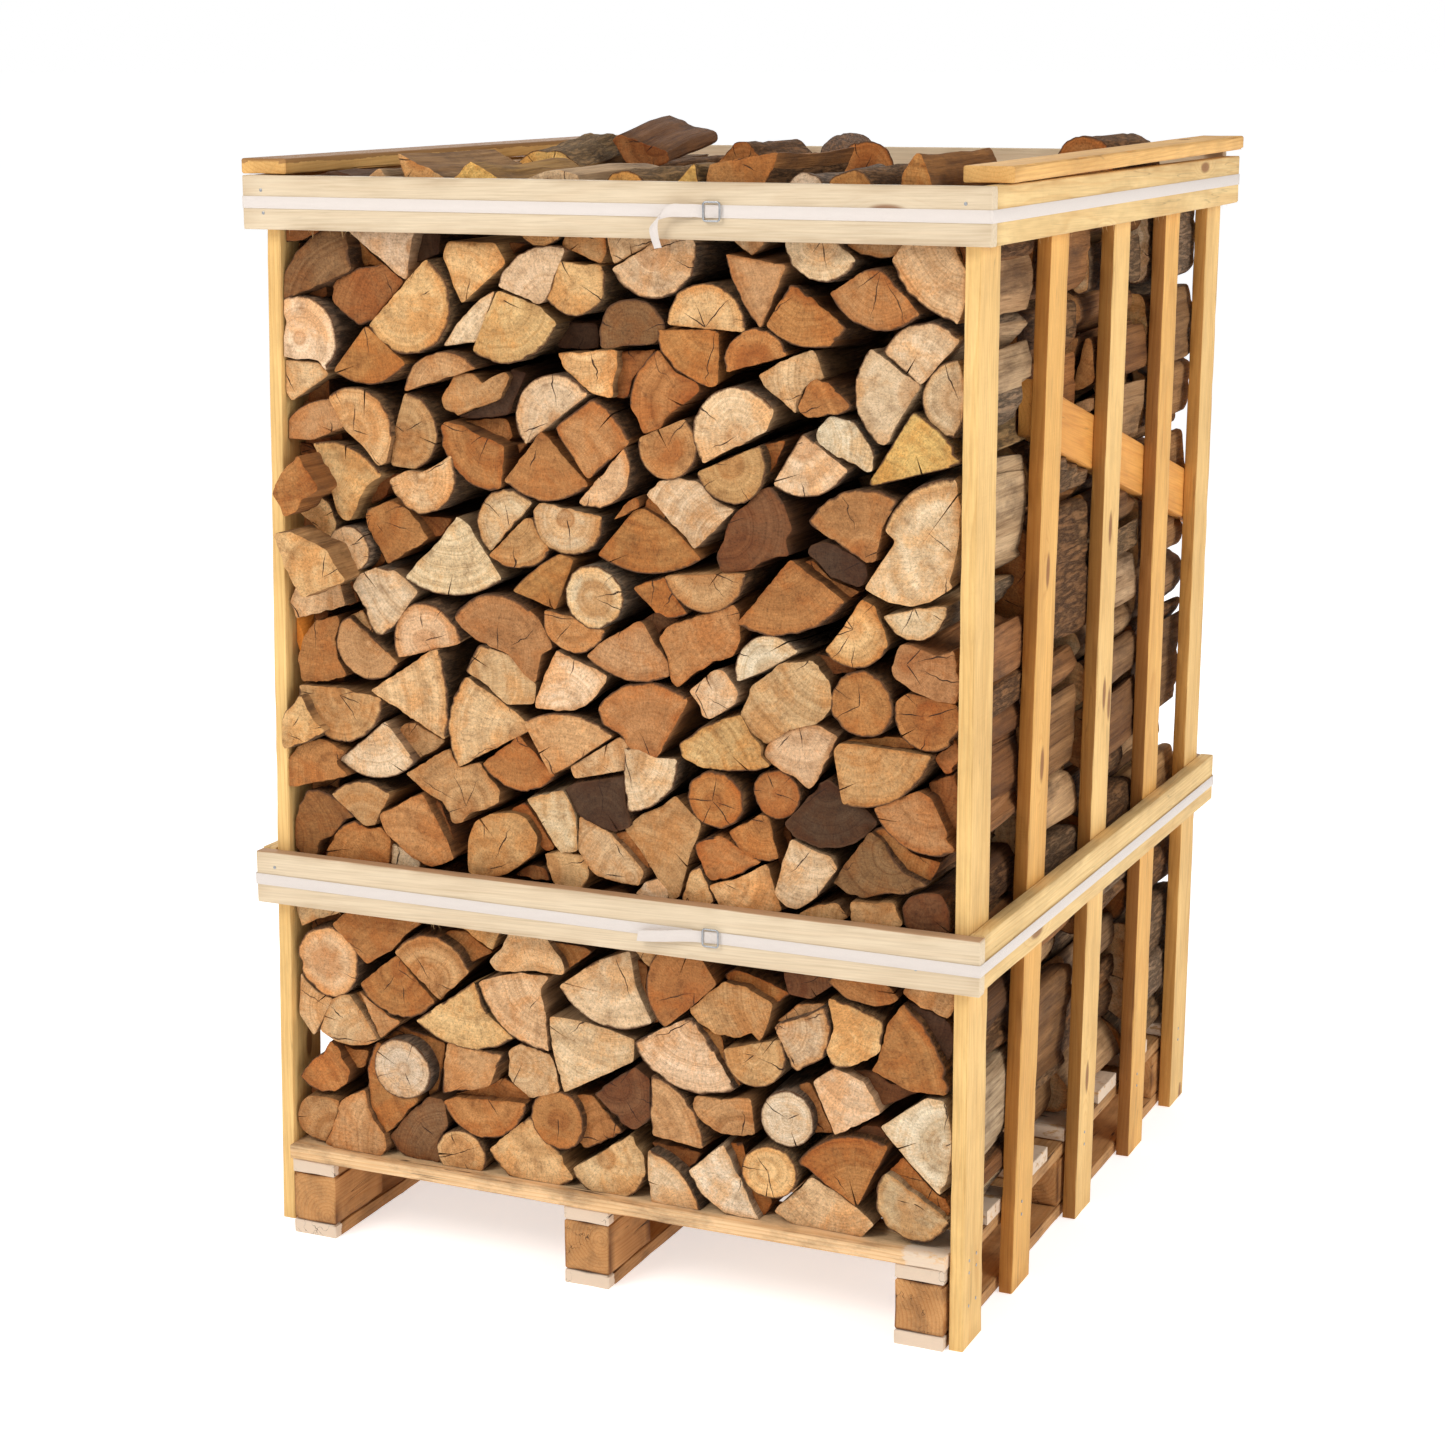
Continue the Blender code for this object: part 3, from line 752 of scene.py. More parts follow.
UPPER_ENDS = """
umber 1 0: 5,151.6 8.7,151.8 12,153.4 12,157 5,157
slate 0 1.2: 4,144.3 4.6,143.2 8.5,144.6 16.5,147.8 15.3,153.5 12,153.6
brown 4 0: 15.5,153.5 17,148.2 20,148.5 23,148.3 20,150.4 17,153.5
brown 4 0: 4.9,151.5 4.8,147.5 6.5,149 8.3,151.5
cream 0 0: 16,153.6 25.4,146.5 26.9,153.6 22,156
umber 1 0: 13,143.5 14.5,142 17.5,140 20,141 22.8,144 25.2,146.5 22,148.8 19,148.4 15.3,147.2 13.6,146
bark 3 0: 26.9,149 29,149.7 31.2,150.5 31.3,153.5 26.9,153.5
straw 0 9.3: 29,149.8 19.2,140.2
cream 0 5.8: 4.2,142.9 5.6,140 4,136.5 3.9,135.1 10.8,134.8 11.8,133.4
pale .5 0: 3.8,134.8 3.9,131.5 6,128.7 12.5,132.9 10.8,134.5
amber 0 2.4: 25.3,134.9 18.8,140.1 13,133.4
tan .5 1.6: 3.1,123.2 9,123.1 14.6,125.4 12.3,129.3
straw 0 4.2: 12.2,129.6 14.8,125 18,122.6 20.2,119.9 21.6,120.5 22.5,124
tan .4 4.6: 24.6,130.7 22.7,125.5 21.9,120.1 26,119.8
tan 0 4: 24.6,130.9 36.4,134.6
straw 0 0: 31.3,150.2 32,148.9 33,146 34.2,143.6 41.4,149.4 39.8,152.2 32.3,152.3
cream 0 2.4: 40,146.2 46.8,143.9 48.3,145.5 48.9,147.5 50.3,150.3 51,151.8
cream .3 .9: 31.2,137.6 36.7,138.4 38,141 39.6,145.6
straw 0 3.4: 49.2,141.3 46.6,143.6 40,145.7 38.2,142 36,137.2
straw 0 4.7: 56.4,149.5 50,149.9 47.9,144.9
tan .5 1.2: 50.1,153.2 49,156 45.5,156 44.3,153.2
tan .6 0: 50.2,152.1 56.4,149.7 57.2,151.5 57,156 52,156
pale 0 0: 57.2,155.5 57.4,152.5 58.3,149.7 61.5,151.4 65,153.2 65,155.5
umber 4 0: 40,152.5 41.6,149.6 43,151 45,152.2
bark 5 0: 49.3,138 56,138.2 55.8,141.8 49.5,141.5
straw 0 0: 49.4,137.3 50.2,135.3 54.5,132 57.7,131.4 58.8,138.1
umber 2 0: 57.9,131.5 60.5,131.6 61,134 63.5,137 64.8,138.5 58.9,138
cream 0 6.4: 43.8,124.2 54.3,131.8
tan .5 0: 30.6,130.3 31,128.8 33.3,127.8 36,129 40,130.4 41.9,133.6 41,134.4 39,133.6 37.4,132.6 35.6,134
 33,133.6
bark 2 0: 33.6,127.8 36,127.6 41.5,128.2 44.5,134.4 42,134.8 41.8,132.5 40,130.2 36,128.8
amber 0 3: 39.9,117.6 40.9,123.9 36,125.4 33,126.6 31,126.9 30.3,126.3
rose 0 .7: 54.8,131.3 48.7,126.9 54,119.9 60.6,125.4
amber 0 2.4: 54,119 46.6,126.4 40.5,118.9
amber 4 0: 32,127 41.1,124.1 42.5,125.3 41.5,128
umber 4 0: 41,124 41,120.6 44.5,124.5
cream 0 5.8: 70.6,153 69.5,156 66.5,154 58.2,149.2
slate .6 5.6: 56.4,138.2 64.6,139.2 66.2,141
straw 0 6.1: 66.2,141.8 78,141.2
amber 0 1.3: 72.5,133.6 73.9,133.8 74,141.3 64.8,141.1 64.8,139.7
amber .2 1.3: 60.6,130.2 61.6,129 62.4,126.6 65.2,127.6 66,129.2 71.3,133 71,134 67.5,135.5 65,138.4
tan 0 .8: 80.3,141.8 84.1,150.3 79,151.1 75.1,151.7
pale .5 0: 76,153.4 78.8,151.3 80.9,153.3 79,156
amber 0 1.4: 90.2,139.9 92.6,142.2 84.7,148 81,142.2
amber 0 4.7: 75.2,135.7 84.1,138.3
cream 0 6.9: 71.7,123.2 81.2,128 82.4,130.8
rose .2 7.2: 68.6,129 62,126.2
pale 0 0: 79.6,135.4 80.5,134.2 83.5,131.8 85.3,130.3 85.5,132 87,134.5 89.5,135.5 88.5,137.8 87.7,139.3
 84,137.8
brown -.5 0: 85.5,131 87,130 90,130.6 92,130.8 93.5,131.8 93,132.5 90,134.8 88.3,135.4 87,134.6 86,132.5
tan 0 6.3: 80.4,126.2 77,124.6 70.7,121.9
brown 1.5 0: 80.3,126.2 80.8,121.5 82.5,123.5 84,126.9
cream 0 2.6: 93,123.3 89.5,125.6 86.4,128 84.2,124.5 82,120.8
cream 0 3.9: 94,151.3 91.3,153.2 90,156 84,156 83.6,153
rose 0 3.4: 103.1,144.4 97.6,150.2 95.3,150 90.4,146.8
pale 0 1.9: 109.2,143.3 109.4,150 108.2,154.5 102,155.5 99,151.4
umber 1 0: 108,153.5 109.4,150.2 109.4,154
tan 1 1.5: 101.8,153.1 99,156 95,156 92.3,153.1
cream 0 .2: 104.9,143.5 101.2,142.9 99.6,141.8 97.7,139.3 103.2,135.1 108.7,141.2
cream 0 2.8: 97.5,127 98.6,127.2 101.2,132 103.3,135 96.2,139.7
cream .5 5.6: 108.8,128.4 109.5,131 109.4,138.5
honey 0 .8: 102.2,131.6 95.8,121.6 96.3,121.3 109.4,125
white 0 0: 88.2,127.4 88.4,126.8 91.5,125 95.7,123.2 96.4,123.4 96.7,126 95.2,128 93.8,130 90.3,130.4
 88.8,129.2
umber 4 0: 6.6,122.6 8.5,118.3 10,118.4 10,121.5 9,122.9
"""
MIDDLE_ENDS = """
straw 0 1.9: 9.1,122.7 9.9,121.6 9.9,119.8 11.2,118.5 12.4,115.5 13.2,112.8 14.1,111.8 15.3,111.7 16.8,115
 18.2,117.2 20.6,118.6
straw .2 4.7: 5,113.6 7,111.8 9.6,110 10.2,108.6 11.4,108
white 0 3.55: 14.8,107.5
amber .5 .6: 17.3,112.5 18,110.5 21.2,105.7 28.1,109.9 24.3,114 21.6,115.1 19,113.6
umber 3 0: 24.5,114 28.3,110 30.5,110.5 32.5,113.2 27,113.2
umber 4 0: 16.8,113.6 18,116.5 20.8,118.6 24.6,119.4 21.8,117 21.5,115.5
pale 0 6.6: 31.9,122.1 29,120.3 26.5,119.3 24.5,119.6 21.6,117.9
cream .2 5.6: 37.9,108.5 41.5,112.3 45,116
tan 0 2.3: 47.8,109.6 45.7,112 45,113.9 43.5,113.8 42,112 37.6,108.1
cream .2 6.1: 55.9,114.8 50,115.8 46.2,116.3 45.3,115
cream 0 2.5: 39.9,104.8 34,112.8 32.6,113.4 30,110 25.5,105.8 23.8,103.8
cream 0 0: 15.2,102 16.4,103.9 19.5,105.2 22.5,104.9 26.3,102 24.8,100.4 22,96.8 20,95.1 18.8,95.1 17.4,98
 16.2,100.8
pale .2 0: 5.3,101.3 4.3,99 5.2,96.5 13.8,99 13.2,102.5 12,103.6 8,102.3
amber .5 0: 6.5,93.8 5.3,90.5 5.9,87 10,87.4 14,88.6 12.2,91.3 12,94 13,96.8 12.6,97.7 8.5,96.3
tan 0 5.7: 22.3,91 14.3,97.6 13,96.7
tan 1.5 0: 14.4,97.5 16.9,98.8 18.6,95.2 18,94.2 15.5,96.3
umber 3 0: 12.3,103.6 15,103.7 15.3,102 16.3,99.8 14,99
amber 3 0: 18.3,106.5 19,109.5 21,106 18.5,104.5
pale 0 7.1: 22.4,91.8 32.5,94.7
pale 0 1: 29.2,93.6 27.8,93.3 17.7,86.6 30.1,80.3
rose 0 3: 32,98.6 35.3,95.7 40.5,94.2 43.5,91 45.2,90 46,94.3 47.8,95.5 46.8,98 44.8,100.4
amber 0 .5: 41.6,103.2 45,102.2 48.4,100.9 49.2,102.5 51.5,108.4 49.3,109.1
white 0 4.5: 54.8,103.3
tan .2 4.8: 56.3,98.6 51,100.1 46.7,101
cream 0 0: 48.3,95 56.5,92 55.9,91 54.3,88.6 52,86.9 49,86.3 45,86.4 45.5,88.6 47,92.3
pale 0 0: 36,95 33.7,90.9 36.2,89.8 40.5,86.5 44.8,87 45.2,89.9 43.4,91.3 41,93.8 38.5,94.4
amber 0 2.3: 71.4,109.8 66.5,114.2 62.5,116.3 60.8,115.9 55.2,109.3
amber 0 0: 58,114.5 60,117 61.6,118 62,116.4 60.4,115.6
brown 1 0: 62.3,116.4 63.3,118.3 65.6,116.4 65.8,114.8
pale 0 4.2: 59.8,124.8 52.5,116.6
cream 0 0: 63,118.3 65.2,116.4 66.4,114.8 68.6,113 70.3,111.2 76.2,116.9 73.5,117.9 71,120.4 68,120.9
 65,120.4
mauve .3 0: 77,117 80.5,120.2 82,120.5 83.5,119 84.2,117 85,115 84,113.5 84.6,111.2 82,110.9 80,109.8
 79,109 76,108.3 75,108 73.6,108.7 73.4,110.5 74.5,112.5 75.3,115
tan 0 5.4: 78,108.3 65.8,107.2
amber 0 0: 60.6,105 62,103.7 64.3,101.8 66.5,101.1 69.3,101.9 67,104.3 65.9,107 63.5,106.3
rose 0 0: 64.5,98 65.9,95.5 66.4,92 67.3,91.2 70.5,93.9 73.3,95.6 75.9,96.4 76.9,98.5 77.1,102.6 76.2,103.9
 72,102.2 65.8,99.9
tan 0 1.9: 66.3,92.8 66,95.2 64,97.5 61.9,100.5 56,97.2 53.2,94.6
mauve 3 0: 62.2,100.5 64,101.8 69,100.9 65.5,99.7 64.3,98
amber 0 3: 92.8,105.5 84.7,110.7 76.8,101.2
white 0 4.4: 76.6,92.9 81,94.9 86,98
cream 0 0: 69.2,91 71,92.5 73,94.3 74.5,94.4 76.2,92.5 76.9,91.5 76.3,89.8 74.5,88.5 72.5,87.2 71.3,87.6
 70.6,89.5
rose 0 3: 54.9,87.3 55.6,85 58.6,83.8 60.2,82.1 64.4,80.9 69.2,89.7
pale 0 0: 77.3,88.4 79,85.6 81,84.4 85,87.2 88.5,88 91,90.5 90.8,94 88,96.8 83.5,96.3 79,92.5
rose .1 2.9: 87.4,115.8 91.5,113.5 95.8,111 97.2,111.3 98,116 100.2,119.7
cream 0 2.5: 98.4,115.4 100,114.2 97.5,110.5 95.5,107.4 99,105.9 102,105.4 105,106.3 108,108.3 108.6,109.6
 108.8,117 109.1,122.8
bark .3 0: 87,111.6 88.3,110.8 90.6,108.6 94.7,107.4 95.9,109 95.5,110.9 91.5,113 89.5,113.5 87.6,112.8
brown 3 0: 88,110.8 90.6,108.4 95,107 93,105.8 86,110.3
cream .3 4: 107.3,105.8 103,105.2 98.2,103.8
straw 0 2.7: 98.9,99.8 98.7,100.8 97,105.2 95.2,106 91.5,100.6 89.8,98.5
rose .1 0: 100.8,100.2 103,100 106,99 109.2,99.9 108.8,97.5 109.3,95 109.6,92.7 106,92.8 103,93.8 99.5,95.9
 99.7,97.5
brown .1 6.8: 109.5,92.5 101.7,93.5 100.2,92.3
amber 0 4.55: 95.3,91.4
umber 3 0: 88,98 91.5,97.6 95,96 92,95.5 89.5,95
brown 2 0: 93,86.2 103,86 104,87 100.5,87.5
tan 0 7.7: 19.6,85.7 12,86.7 5.4,86.5
straw -2.2 0: 5.3,84.8 4.3,83.3 3,82.2 2.3,81 1.8,80 1.7,78 2.5,76.4 5,77.3 7.5,78.3 9.7,79.8 8,81 6.5,83.2
 5.7,84.8
amber -.5 0: 2.2,70.8 4,70.7 13.6,73.4 12,74.6 11.7,75.5 12.9,77 10,78.4 8.5,78.5 6,77.5 4,76.5 2.5,74
 2.2,72.8
cream 0 2.6: 24.9,76.4 20,82.2 11.7,75.6
tan 2 0: 22.2,81.2 23,82 25,82.2 29.9,80.1 27.5,78 25.3,76.9 24,78
tan 0 2: 10.4,70.2 16.3,65.7 17.8,66.3 20.5,71.2
umber 0 0: 3.4,61 3.5,64.8 4.4,67.5 6,70.3 8,70.6 10.3,70.1 14.3,67 12.5,66.5 9.9,63.6 7.5,62.2 7,60
 4.5,59.5
amber .3 0: 8.6,60.5 10,63.3 12,65.5 14.3,66.5 16.5,65.4 18.8,66 20.5,64.3 19.9,60.5 17,59 11,59
rose 0 0: 18.7,68 19.5,65.8 22,63.3 24.5,61.8 26.8,60.9 29,61.3 31.2,62.5 29.8,65.5 26,72
cream .8 0: 20.2,60.5 20.6,63.8 25.4,61.2 25,60
umber 2 0: 26.6,71.7 29.2,71 31,66 31.8,63 31.2,62.6 29.8,66
tan 0 0: 23.1,74.5 27.2,71.6 29.3,71 30.7,67.9 32.2,68 33.7,69.8 36.5,70.5 38.7,71.7 39,73.5 37,75.7
 35.4,77.4 32.3,76.3 30.4,78.9 28,77.6
pale 0 2.2: 32,76.3 43.9,82.9 42.9,84.8 33.9,90.1
amber 0 3.2: 48,76.7 42.2,82.1 36,77.3
tan 0 2.2: 43.2,84.3 47.6,76.9 50,78.2 57.4,83.4
pale 0 0: 50.5,78.3 51.2,76.6 55,77.5 59.4,78.6 59.4,80.5 60,82.3 58.3,83.4
bark .5 0: 49.6,74.8 51.3,71.8 54.5,69.9 57.8,69.5 60.3,70.5 59.4,74 59.3,77.8 55,76.9 51,75.9
cream 0 2.3: 67.6,81.1 64.3,81.1 61,82.1 59.2,81.8 59.4,75.5 59.9,72.6
straw 0 0: 67.4,83.2 68,81.3 70.3,80.2 75,80.1 79.5,80.6 82,81.6 80.4,82.8 80.6,84.2 79,85.6 77.3,88.4
 74,87.2 71,86 69.3,84.4
amber 0 4.15: 73.4,75.8
amber .3 3.5: 82.6,77.4
amber 0 1.8: 83,68.1 81.3,73.8 80.3,74.4 75.2,71.2
amber .1 0: 70,69.1 71.2,66 72.4,63.8 75,64.4 77.5,65.6 80.2,67.4 77.8,68.4 75.5,70.1 74,70.5 72,70
tan 0 0: 66.2,60 67.6,61 69.2,67 71.2,72.1 67,75.7 64.8,73.8 61.5,72.3 58.6,69.7 62,65.8
cream 0 0: 43.3,72.9 48.8,65.3 51.6,65.9 51.5,69.5 50.9,72.3 49.4,74.8 46.2,73.8
tan 0 0: 33.1,60.5 33.2,65.3 34.5,68.4 37,69.8 40,70.3 42.8,70 44.9,67.2 44.5,64.8 42,62.7 39.5,60.9 36,60
straw .2 0: 46,64.8 47.3,60.5 50,59 52.3,60.8 53.4,63.1 51.8,65.2 48.3,65.5
pale 0 0: 51.7,71.3 51.7,66.2 52.8,64.2 54.7,62.5 58,62 61.3,61.8 62.3,64.1 57,69.1 54.5,69.9
brown 1 0: 57.3,69.2 62.4,64.2 63.3,65 59.3,69.9
cream .2 0: 60.5,60.5 62,62.3 64.2,63.2 66,61.5 65.8,60
straw 0 0: 67.9,60.5 69.6,65 70.9,65.9 73.3,60.8 71,59.5
straw 0 0: 72.4,63.3 76.5,64.6 80.9,67.3 83.4,60.8 80,59.3 74,60.3
cream 0 0: 85,71.4 82.4,63.4 84,61.6 85.8,61.3 88.5,63 90.5,65.8 92,67.8 91,69.5 88.5,70.1
bark 0 3.6: 97.6,75 95.3,76.8 90,80.5 86.5,76.5 83.7,73.3
pale 0 0: 80.4,82.8 82,81.6 85,80.1 87.4,78.7 88.3,79.3 90,83 91.7,86.4 88.5,88 85.5,87.2 83,86.4 81,84.4
tan 0 3: 105.5,85.2 95,85.8 92,85.7 91.2,84.6 92.6,77.2
rose 0 2.9: 109.3,72 105.6,79.3 103.8,80.2 97.2,77.1
slate 0 0: 105.4,67 101.5,68.6 97.8,72.8 96.5,73.6 94.8,71.3 90.9,65.5 93,64.3 96,64 98.5,65 102,65.4
brown 1.5 0: 96.6,73.9 98.3,74.7 103.5,71 107,70.5 105.6,67.5 101.5,69
umber 2 0: 104.8,81.3 109.4,83.2 109.4,74 107.5,75.8 105.7,79.6
brown 2 0: 105.8,85 109.5,88 109.5,84 107.5,82.8
mauve .2 0: 101.8,60.5 101.3,63.3 102.4,65 104.6,65.8 107,66 108.3,64 108.4,60.5 105,59.3
tan 0 0: 94,60.5 93.9,63.4 97,63.7 100.3,63.9 101.6,60.8 98,59.3
tan .3 0: 85.9,60.5 88.5,62.2 91.8,63 93.6,61 91,59.5
umber 4 0: 81.6,73 84,73 84.9,71.5 83.2,66.5
umber 1.5 0: 41,61 42,62 44,63 46.5,62.6 47,60.8
brown 2 0: 40.5,70.8 43,72.5 48,66 46.5,65.2 45,66.8 44,69
"""
LOWER_ENDS = """
pale 0 0: 3.2,51.5 3.2,54 13,54 11,51.8 7,50.2 4,48.7
pale 0 5.35: 8.7,43.8
amber 0 0: 9.5,49.7 12.5,47 14.7,44.9 15.5,44.2 20,47 22.5,50 24.5,51.3 24,53.5 14,53.5 11.5,51.4
tan 0 4.2: 20.3,46.6 27.8,40 32.8,45
amber 0 3.8: 27.2,39.8 20.6,46.2 14.2,41
tan .4 0: 14.1,39.9 17.4,32.6 21.3,35.9 19.5,36.4 16.4,38.2
pale .2 0: 3.5,41.3 3,34.4 5.6,31.4 7,33.8 9.2,37.8 6.5,38.5 4.5,40
pale .1 0: 9,37.8 6.8,32.6 9.5,31.3 12.5,31 15.5,31.6 17.3,32.5 14.5,36.5 12.4,39 10.8,38.7
amber 2 0: 12.7,39 14.5,40 15.3,37 17.3,32.7 16,33.5
brown .2 0: 2.9,24.6 4.2,23.3 6.5,22.6 9.2,23 11.3,24.6 12.2,26.8 10.8,28.6 8.9,31.3 7.3,29 5,27.2
brown 2 0: 9,31 12.5,30.3 15.3,30.5 14.6,27.8 12,26.5 11,28.5
tan .2 0: 2.3,18 2.8,16 4.5,15 7.2,14.5 8.8,17.5 10.2,21.8 8,22 4.5,21.8 3,20.3
tan 0 0: 7,14.2 12,13 16.5,13 18.3,15.5 17.9,17.5 16,19.5 15,21.6 14.7,24.3 10.2,21.8 8.8,17.5
white 0 4.8: 21.2,28.4
amber .5 2.6: 18.1,17.5 24,24 20,30 17,32.3
brown 3 0: 18,32.6 21.3,35.3 29,33.7 27.6,26 26,24.5 25,30 21,33
slate .3 0: 18.3,16.8 20.5,19.8 25.5,24.6 28.2,24.3 28.8,20.2 27.2,18 27,14.2 22.5,14 19.5,14.9
straw 0 3: 40.4,35.9 35.8,39.6 34.2,44 24,36.6
pale 0 2.6: 46.3,34.8 45.8,39 45.1,44.2 46.5,46.2 41,46.2 34.6,44
pale 0 0: 36.6,47.3 37.5,45.9 43,46.6 48.8,46.8 48.9,48.3 46.3,51.7 45.5,53.5 40.5,53.5 39.5,51.2
straw .5 0: 31.5,52 37,49 38.4,52 36,54 33,54
brown 2 0: 28,50 30.5,51.5 32.5,51.3 37,48.8 33,46.5 31.5,47
brown 1.5 0: 46.6,51.8 52,51.5 53.7,51 49,47.3 49,48.6
cream 0 3.3: 63,41.3 60.3,46.5 59.4,51.7 54,49.5 48,45
cream 0 0: 46.4,40.2 46.4,37 47.5,32 48.5,28.5 59.8,34.9 60,38.2 55.5,39.4 51,40.1
pale .1 0: 39.4,34 39.4,30 40.6,28.4 43.2,27 48,28.8 47,33 46.3,34.2 41.5,35.2
tan 0 0: 28.9,33.8 27.8,25.3 30,26 33.5,26.8 36,27.8 37.5,31 38.7,33.2 33,33.2
amber .5 5.6: 42.2,26 36,25.7 30,25.3 28.3,24.4
brown 2 0: 30,25.6 36.5,28.5 38.5,29.5 43,27.2 42.3,26.1 36,25.9
straw 0 4.0: 31,16.2
straw 0 3.6: 50,15.2 45.8,20.5 42.6,23.9 38.5,20.3 35.7,17.7
amber 0 4.5: 47.3,24.1
brown 1.5 0: 49,28.4 53.3,29 58.3,24 52,20.3 50.5,21.5 52,25
pale 0 4.4: 61.7,17.8 61.5,20.3 59.3,23.5 54,19.8 49.7,17
mauve .3 0: 53.7,29.2 58,25.5 60.5,24.7 63,27 62.9,32.8 60.5,34.4 57,32
amber 0 2.8: 65.1,41 69,44.3 73.6,48.7 71,52.5 65,53
tan .5 0: 60.3,52.3 62.8,49.8 64.6,51.9 63,54
umber 2 0: 59.8,51 62.5,49.8 62,46.5 64.5,41.8 63,41.3 60.5,46
tan 0 0: 69,44.2 70,42.8 73.5,41 77,41.2 79,42.3 80.2,40.8 81.8,45 82.3,47 78,49 74.5,49.3
brown 1.5 0: 74.6,50.3 76,51.3 80,50.6 85,48.8 82.6,46.9 78.5,48.9 74.6,49.6
cream 0 3.6: 76.3,33.3 72.5,39 70.3,42 69,43 60.2,38.2
brown 1.5 0: 70.4,42.1 74.3,41 74.6,39 76,35.5 77.3,34 76.4,33.4 72.7,39
straw 0 6.4: 83.2,41.7 74.5,39.2
cream 0 .9: 90,47.5 82.3,43.6 85,38 85.9,37.3 90,40.2
tan 1.5 0: 82.6,44.3 86,47.3 90,48 90,47.6 86,45.2
mauve .8 0: 83.7,51.7 84.5,48.6 88,48.4 91.5,51 91,53 85,53
brown .5 0: 90.4,51.5 93.5,49.2 97.5,48.6 100,49.2 101.2,50.2 99.8,51.6 97,53.5 92,53
straw 0 0: 90.2,48.8 91.5,44.5 90.4,41 91.5,39.3 94,39.2 96.5,40.8 98.3,41.8 98.8,46.5 95,48
tan .3 0: 101.6,51.4 104,49.7 107.5,48.4 109.4,48.3 109.4,53.5 104,53.5
bark 1.5 0: 102.5,50 105,49.3 109.4,48 109.4,42 107.5,43.5
amber 0 1.6: 101.7,49.6 99.5,46.5 98.2,41 97.1,39 100,37.9 103,37 108.9,36.8
mauve 1.5 0: 94,38.9 97.3,39 100,37.6 104.3,37 99,33.9 96.5,37.8
cream 0 0: 88.2,36.2 91.7,28.7 98.8,33.2 96,37.5 91.5,38.6
brown 2 0: 86,35.5 88,36 91.4,29 88.3,28.5 87.5,32
white 0 0: 98.5,31 103,26.5 107.7,22.4 109.2,24 109.2,36 105.5,36.4 102,33.7
tan 0 2.4: 63,33.6 62.9,28 63.2,24.2 71.3,23.4
tan 0 0: 69.4,30 70,28.2 73,26.4 77,26.2 79.2,26.9 78.7,32.3 74.5,31.5 70,31.4
white 0 4.2: 84.3,29.9
umber 2.5 0: 62.6,23.3 71,22.8 70,21 68,19.3 65.5,21
cream 0 2.1: 62.4,22 62.3,17.5 63,13 70.9,12.6
white 0 2.4: 80,13.9 74.6,24.7 68.9,20
brown 1.5 0: 75,24.8 77.3,25.3 78,21.5 82,17 80.3,13.9 77,20.3
straw 0 4.2: 81.7,21.6
amber 0 2.6: 85.9,23.6 95.2,18.5 97.3,23 99.7,28.2
mauve 1.5 0: 94,29 96,30.8 98.3,31 100.2,28.5 99,27.9
pale 0 0: 82,15.3 85.5,13.6 89,12.5 94.3,12.4 97.8,16.2 95,18.3 90.5,20.6 88,21.8
cream 0 7: 109.2,18.7 99.6,24.4
brown 1.5 0: 99.9,24.6 102,27 107.6,22.1 109.3,21.8 109.3,19 105,21.2
"""
TOP_ENDS = """
bark .8 0: 8,160.6 14,161.6 19,160.8 18,156 9,156
cream .6 0: 19.6,160.8 21.8,162.3 22.9,160.8 23,156 19,156
straw .6 0: 24.6,164.4 32.7,160.8 32,157 26,157 25.6,160.8
honey .6 0: 33.6,160.8 36.5,163.4 39,162.1 41,160.8 40,156.5 35,156.5
cream .6 0: 44.7,160.8 47.8,162.1 50.3,162.4 53.1,161.7 53.2,158 49,155.5 45,158
honey .6 3.7: 60.2,158.7
honey .6 0: 67.7,160.8 70.6,163.5 71.4,160.8 71,157 68,157
amber .6 0: 72.2,160.8 72.8,163.3 82.9,165.2 81,160.8 78,155.5 72.5,156
white .6 2.8: 86.6,159.6
amber .6 3.6: 93.2,159.3
amber .6 0: 100,160.8 100.6,163 102.2,165.2 103,164.9 104.4,161.4 104,157 100,156
"""


def read_ends(text):
    """Each line as (tone, depth in m, round side in m, corners in m across and up)."""
    eye = np.array([EYE_U, EYE_V])
    for line in text.strip().replace("\n ", " ").splitlines():
        facts, points = line.split(":")
        tone, depth, sag = facts.split()
        back = ROW_FRONT + 0.01 * float(depth)
        nearer = (back + EYE_BACK) / (READ_AT + EYE_BACK)
        seen = np.array([[float(value) for value in pair.split(",")] for pair in points.split()])
        real = (eye + (seen - eye) * nearer) * 0.01
        real[:, 0] += ZERO_X
        yield tone, back, float(sag) * 0.01 * nearer, real


ENDS = [row for text in (UPPER_ENDS, MIDDLE_ENDS, LOWER_ENDS, TOP_ENDS) for row in read_ends(text)]
print("log ends in the front row", len(ENDS))

# %% [markdown]
# Behind the middle rail and along the left slats nothing could be read, so plain logs fill the room there.
# The logs beside the left slats start a little deeper than the read ones and stay off the wall, so that no
# two skins lie in one plane. A part near the floor stays open, as one sees through the crate there.

# %% Front row
LOG = 0.284
ROW_PITCH = 0.289
WALL_ROUND = 0.010
FILLERS = 11
FILLER_OVAL = (0.048, 0.036)
SIDE_ROOM = 0.045
MID_RAIL_Z = 0.5705
FILLER_BACK = (0.008, 0.014)
FILLER_REACH = (0.045, 0.072)
FILLER_DEPTH = (0.058, 0.075)
MID_FILLER_DEPTH = 0.034
SEE_THROUGH = (0.24, 0.36)
FRONT_PATCH = (0.19, 0.185)
PATCHES_FROM = -0.6
FILL_STEP = 0.075
FILL_HALF = 0.041
BARK_PATCHES = 0.25
SHADED = 0.040
DRYING = {"share": 0.28, "depth": (0.45, 0.85), "mouth": (0.0018, 0.0036)}


